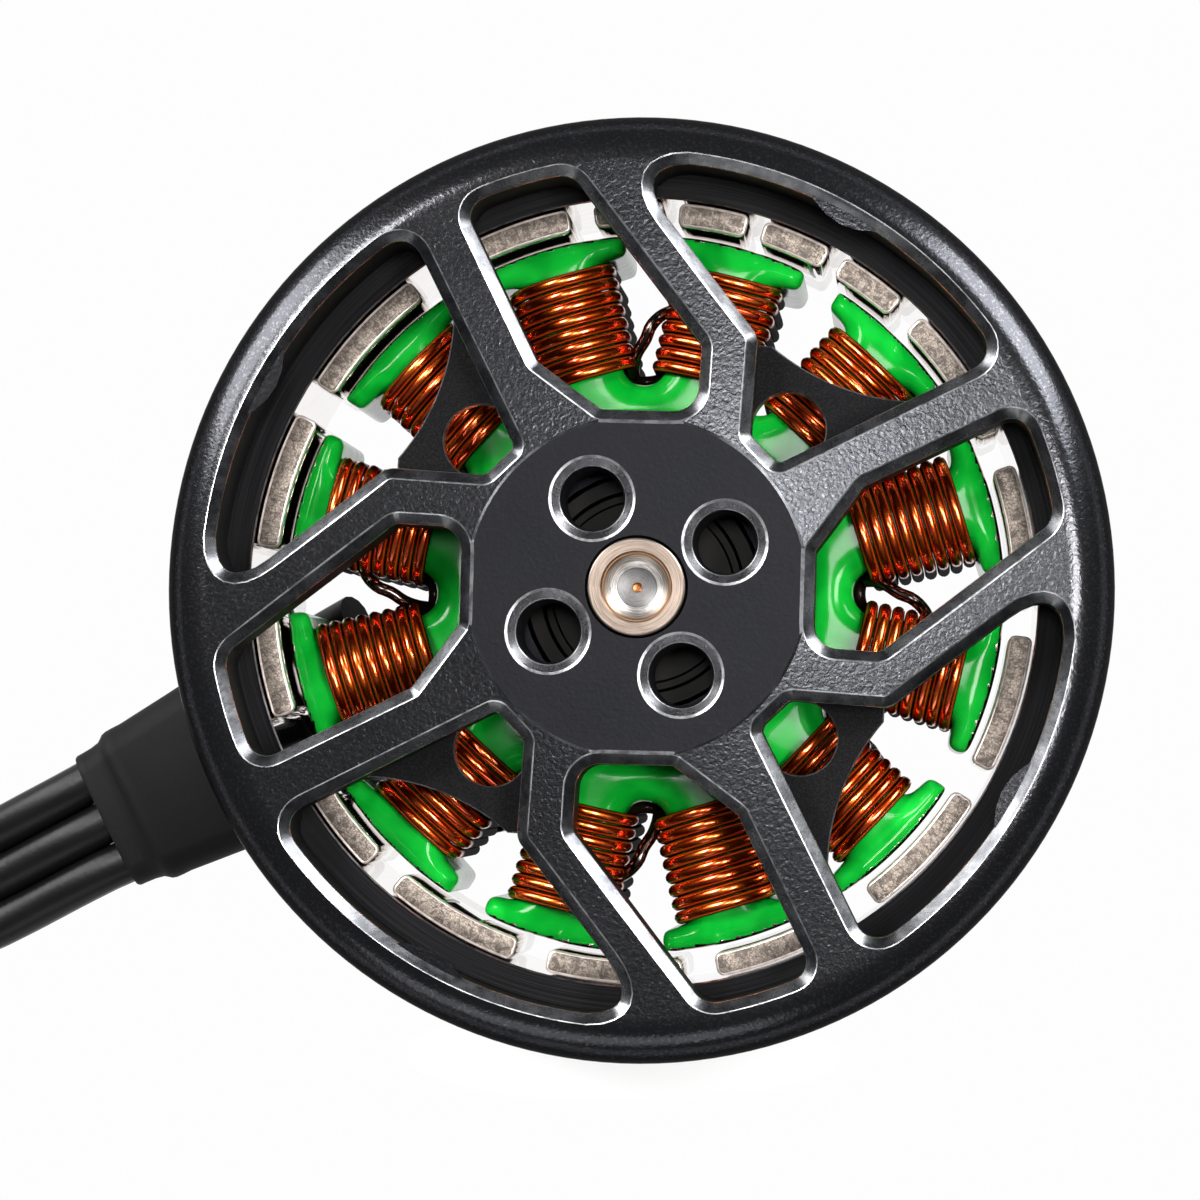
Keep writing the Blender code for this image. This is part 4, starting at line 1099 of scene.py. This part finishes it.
def addCoat():
    shape = bmesh.new()
    points = []
    for tooth in range(stator["teeth"]):
        turn = turnedAbout(toothAzimuth(tooth))
        points += [shape.verts.new(turn @ point) for point in toothCorners()]
    face = shape.faces.new(points)
    bmesh.ops.translate(shape, verts=face.verts, vec=(0, 0, stator["bottom"] * mm))
    height = stator["top"] - stator["bottom"] - stator["shortened"]
    raised(shape, [face], height * mm)
    piece = addPiece("coated_stator", shape, ["greenCoat"])
    bore = bmesh.new()
    addBore(bore, stator["bore"], stator["bottom"], stator["top"])
    cutWith(piece, addPiece("bore", bore, ["greenCoat"]))
    modify(piece, "REMESH", mode="VOXEL", voxel_size=stator["voxel"] * mm)
    modify(piece, "SMOOTH", factor=0.5, iterations=stator["rounds"])
    applied(piece)
    # the middle goes back to its length, and what the rounding took off the faces comes back
    heights = [vert.co.z for vert in piece.data.vertices]
    low, high = min(heights), max(heights)
    middle = (low + high) / 2
    tree = outlineTree()
    for vert in piece.data.vertices:
        share = (vert.co.z - low) / (high - low)
        shortTop = stator["bottom"] * mm + share * height * mm
        vert.co.z = shortTop + (stator["shortened"] * mm if vert.co.z > middle else 0)
        if share > stator["domeAbove"]:
            # surface tension: the coat stands highest far from its edges
            flat = Vector((vert.co.x, vert.co.y, 0))
            inward = min(1.0, tree.find(flat)[2] / mm / stator["domeReach"])
            vert.co.z += stator["domeHeight"] * mm * math.sqrt(1 - (1 - inward) ** 2)
    modify(piece, "SMOOTH", factor=0.5, iterations=stator["settling"])
    applied(piece)
    piece.data.materials.append(finishes["mirrorWall"])
    for polygon in piece.data.polygons:
        polygon.use_smooth = True
        # the shoes' outer faces are ground bare and polished
        radial = polygon.center * Vector((1, 1, 0))
        if radial.length > stator["shoeFace"] * mm and polygon.normal.dot(radial.normalized()) > 0.85:
            polygon.material_index = 1
    return rideOn(piece, "stator", "green_coat", "stator_core")


coils = {
    "start": 10.0, "end": 15.45, "wire": 0.61, "gap": 0.024, "lastTurn": 7.625, "clear": 0.1, "spread": 0.2,
    "arch": 0.35, "corner": 0.95, "crown": 0.16, "lift": 0.3, "stepsPerTurn": 44,
}


def coilLine(tooth):
    radius = coils["wire"] / 2
    pitch = coils["wire"] + coils["gap"]
    wireLine = coils["clear"] + radius
    halfHeight = (stator["top"] - stator["bottom"]) / 2 + wireLine + coils["arch"]
    middle = (stator["top"] + stator["bottom"]) / 2
    turn = turnedAbout(toothAzimuth(tooth))
    steps = coils["stepsPerTurn"]
    points = []
    for step in range(round(coils["lastTurn"] * steps) + 1):
        along = coils["start"] + radius + pitch * step / steps
        share = step / steps / coils["lastTurn"]
        halfWidth = stator["toothWidth"] / 2 + wireLine + coils["spread"] * share
        cut = coils["corner"]
        # a quarter turn's key places: side, corner, crowned end
        corners = [
            (halfWidth, 0),
            (halfWidth, halfHeight - cut * 1.15),
            (halfWidth - cut * 0.3, halfHeight - cut * 0.42),
            (halfWidth - cut, halfHeight - 0.06),
            (0, halfHeight + coils["crown"]),
        ]
        points.append((along, corners))
    line = []
    for step, (along, corners) in enumerate(points):
        turnShare = (step / steps + 0.125 * 7) % 1.0
        x, z = onLoop(corners, turnShare)
        lift = coils["lift"] * max(0.0, z / halfHeight) ** 6 * (1 - (x / corners[0][0]) ** 2)
        line.append(turn @ (Vector((along, x, middle + z + lift)) * mm))
    return line


def onLoop(corners, share):
    # a place on the loop of four mirrored quarters, evenly along it; share 0 is the middle of one side
    quarters = share * 4
    quarter = int(quarters) % 4
    part = quarters - int(quarters)
    flipped = part if quarter % 2 == 0 else 1 - part
    x, z = alongKeys(corners, flipped)
    if quarter in (1, 2):
        x = -x
    if quarter in (2, 3):
        z = -z
    return x, z


def alongKeys(corners, share):
    # half of a quarter's steps go to its straight side, and half to its corner and crown
    side, low, mid, high, crown = [Vector(corner) for corner in corners]
    if share < 0.3:
        return side.lerp(low, share / 0.3)
    share = (share - 0.3) / 0.7
    keys = [low, mid, high, crown]
    padded = [2 * low - mid + Vector((0, 0)), *keys, Vector((-high.x, high.y))]
    padded[0] = Vector((low.x, low.y - (mid - low).length))
    place = share * 3
    index = min(2, int(place))
    t = place - index
    a, b, c, d = padded[index:index + 4]
    return onCurve(a, b, c, d, t)


def addCoil(tooth):
    tube = addTube(f"wound_coil_{tooth + 1:02d}", coilLine(tooth), coils["wire"] / 2 * mm, "enamelWire", 4)
    coil = asMesh(tube)
    markTurnShade(coil, polar(1.0, toothAzimuth(tooth)))
    return rideOn(coil, "stator", "enamelled_copper", f"winding_{tooth + 1:02d}")


def markTurnShade(coil, way):
    # how far each point of the wire faces the turns beside it, the mask for the painted shade between the
    # turns
    marks = coil.data.attributes.new("groove", "FLOAT", "POINT")
    for mark, vert in zip(marks.data, coil.data.vertices):
        mark.value = abs(vert.normal.dot(way))


def asMesh(tube):
    # a curve's tube as a mesh piece of the same name
    bpy.context.view_layer.update()
    mesh = bpy.data.meshes.new_from_object(tube.evaluated_get(bpy.context.evaluated_depsgraph_get()))
    name = tube.name
    curve = tube.data
    bpy.data.objects.remove(tube)
    bpy.data.curves.remove(curve)
    shape = bmesh.new()
    shape.from_mesh(mesh)
    key = next(key for key in finishes if finishes[key] == mesh.materials[0])
    bpy.data.meshes.remove(mesh)
    return addPiece(name, shape, [key], 60.0)


addCoat()
for tooth in range(stator["teeth"]):
    addCoil(tooth)
print("stator and coils made")


shaft = {
    "steps": 96,
    "profile": (
        (0.0, 23.6), (0.2, 23.65), (0.2, 24.11), (0.24, 24.154), (0.88, 24.154), (0.93, 24.18),
        (1.46, 24.83), (1.5, 24.854), (1.57, 24.854), (1.6, 24.88), (1.6, 25.06), (1.64, 25.1),
        (2.14, 25.1), (2.2, 25.06), (2.22, 25.0), (2.22, 21.0), (2.0, 21.0), (2.0, 1.95), (1.65, 1.95),
        (1.65, 1.35), (2.0, 1.35), (2.0, 0.85), (1.75, 0.6), (0.0, 0.6),
    ),
}


def addShaft():
    piece = addPiece("turned_shaft", turned(shaft["profile"], shaft["steps"]), ["turnedSteel"], 28.0)
    return rideOn(piece, "rotor", "bright_steel", "shaft")


addShaft()


bearing = {
    "top": 18.9, "width": 4.0, "radius": 5.5, "bore": 4.7, "edge": 0.12,
    "shieldBore": 2.95, "shieldTop": 18.7, "shield": 0.2,
}


def addUpperRace():
    # the upper outer race with its pressed shield, which closes the view down past the balls
    low, high = bearing["top"] - bearing["width"], bearing["top"]
    edge, inner, outer = bearing["edge"], bearing["bore"], bearing["radius"]
    shieldTop = bearing["shieldTop"]
    shieldLow = shieldTop - bearing["shield"]
    profile = [
        (outer - edge, high), (outer, high - edge), (outer, low + edge), (outer - edge, low), (inner, low),
        (inner, shieldLow), (bearing["shieldBore"], shieldLow), (bearing["shieldBore"], shieldTop),
        (inner - 0.5, shieldTop), (inner - 0.4, shieldTop - 0.08), (inner - 0.1, shieldTop - 0.08),
        (inner, shieldTop), (inner, high - edge / 2), (inner + edge / 2, high),
    ]
    # its finish is the steel painted near black as shade
    piece = addPiece("shielded_upper_race", turned(profile, 96), ["shadedSteel"], 28.0)
    return rideOn(piece, "stator", "bright_steel", "upper_bearing_outer_race")


addUpperRace()


links = {
    "slots": (0, 90, 180, 270),
    # out from the axis, to the side and height, in mm: along the slot's floor, and up to the next coil
    "floor": (
        (11.6, 1.75, 13.4), (10.75, 1.35, 14.6), (10.2, 0.75, 15.4), (10.02, 0.0, 15.7), (10.2, -0.75, 15.4),
        (10.75, -1.35, 14.6), (11.6, -1.75, 13.4),
    ),
    "across": (
        (10.3, 0.75, 14.2), (10.35, 0.6, 15.8), (10.75, 0.55, 16.9), (11.3, 0.35, 17.3), (11.9, -0.05, 17.5),
        (12.5, -0.3, 17.6), (13.0, -0.75, 17.4), (13.3, -1.25, 16.6), (13.35, -1.6, 15.2),
    ),
    "radius": 0.29,
}


def addLink(number, azimuth, way):
    # a wire between two coils
    turn = turnedAbout(azimuth)
    points = [turn @ (Vector(place) * mm) for place in links[way]]
    line = evenly(smoothCurve(points, 12), 0.25 * mm)
    tube = addTube(f"link_wire_{way}_{number}", line, links["radius"] * mm, "darkWire", 4)
    return rideOn(asMesh(tube), "stator", "enamelled_copper")


for number, azimuth in enumerate(links["slots"], 1):
    addLink(number, azimuth, "floor")
    addLink(number, azimuth, "across")


# the upper shim and the upper bearing's inner race and cage take the steel painted near black as shade
kept = {
    "base": "satinBlack",
    "retaining_ring": "springSteel",
    "lower_shim": "bearingSteel",
    "upper_shim": "shadedSteel",
    "lower_bearing_inner_race": "bearingSteel",
    "lower_bearing_outer_race": "bearingSteel",
    "upper_bearing_inner_race": "shadedSteel",
    "lower_bearing_ball_cage": "cageSteel",
    "upper_bearing_ball_cage": "shadedSteel",
    "lead_a_tinned_end": "tinned",
    "lead_b_tinned_end": "tinned",
    "lead_c_tinned_end": "tinned",
}
for name, key in kept.items():
    for place in nodes[name].material_slots:
        place.material = finishes[key]


def floorFinish():
    # white to the camera and in reflections; part of it is real paper, which takes the motor's shadow
    finish = Finish("white_floor", Roughness=0.9, Specular_IOR_Level=0.1)
    paper = finish.grain(0.6, 2.0)
    shade = studio["floorShade"]
    finish.feed(Base_Color=finish.mix(paper, (shade, shade, shade), (shade * 0.97,) * 3))
    rays = finish.add("ShaderNodeLightPath", output="Is Camera Ray")
    rays = rays + finish.add("ShaderNodeLightPath", output="Is Glossy Ray")
    rays = rays + finish.add("ShaderNodeLightPath", output="Is Transmission Ray")
    seen = rays.maths("MINIMUM", rays, 1.0)
    # a painted shadow patch: only in an ellipse placed under the bell's lower edge does the camera see some
    # of the paper's real shading
    ahead = ((finish.x + 1.8 * mm) / (9.6 * mm)) ** 2 + ((finish.y + 22.3 * mm) / (2.2 * mm)) ** 2
    share = 1.0 - ahead.band(1.5, 0.1) * studio["shadowShare"]
    glow = {"Color": (1.0, 1.0, 1.0), "Strength": studio["floorWhite"]}
    white = finish.add("ShaderNodeEmission", values=glow)
    shaded = Signal(finish.tree, finish.shader.outputs[0])
    mixed = finish.add("ShaderNodeMixShader", values={0: seen * share, 1: shaded, 2: white})
    finish.tree.links.new(mixed.socket, finish.tree.nodes["Material Output"].inputs["Surface"])
    return finish.made


def addFloor():
    shape = bmesh.new()
    bmesh.ops.create_grid(shape, x_segments=2, y_segments=2, size=studio["floorSize"] / 2)
    mesh = bpy.data.meshes.new("floor")
    shape.to_mesh(mesh)
    shape.free()
    mesh.materials.append(floorFinish())
    placed("floor", mesh)


def setWorld():
    world = bpy.data.worlds.new("studio")
    world.use_nodes = True
    world.node_tree.nodes["Background"].inputs["Color"].default_value = (*studio["world"], 1.0)
    world.node_tree.nodes["Background"].inputs["Strength"].default_value = 1.0
    bpy.context.scene.world = world
    bpy.context.scene.view_settings.view_transform = "Standard"


addFloor()
setWorld()
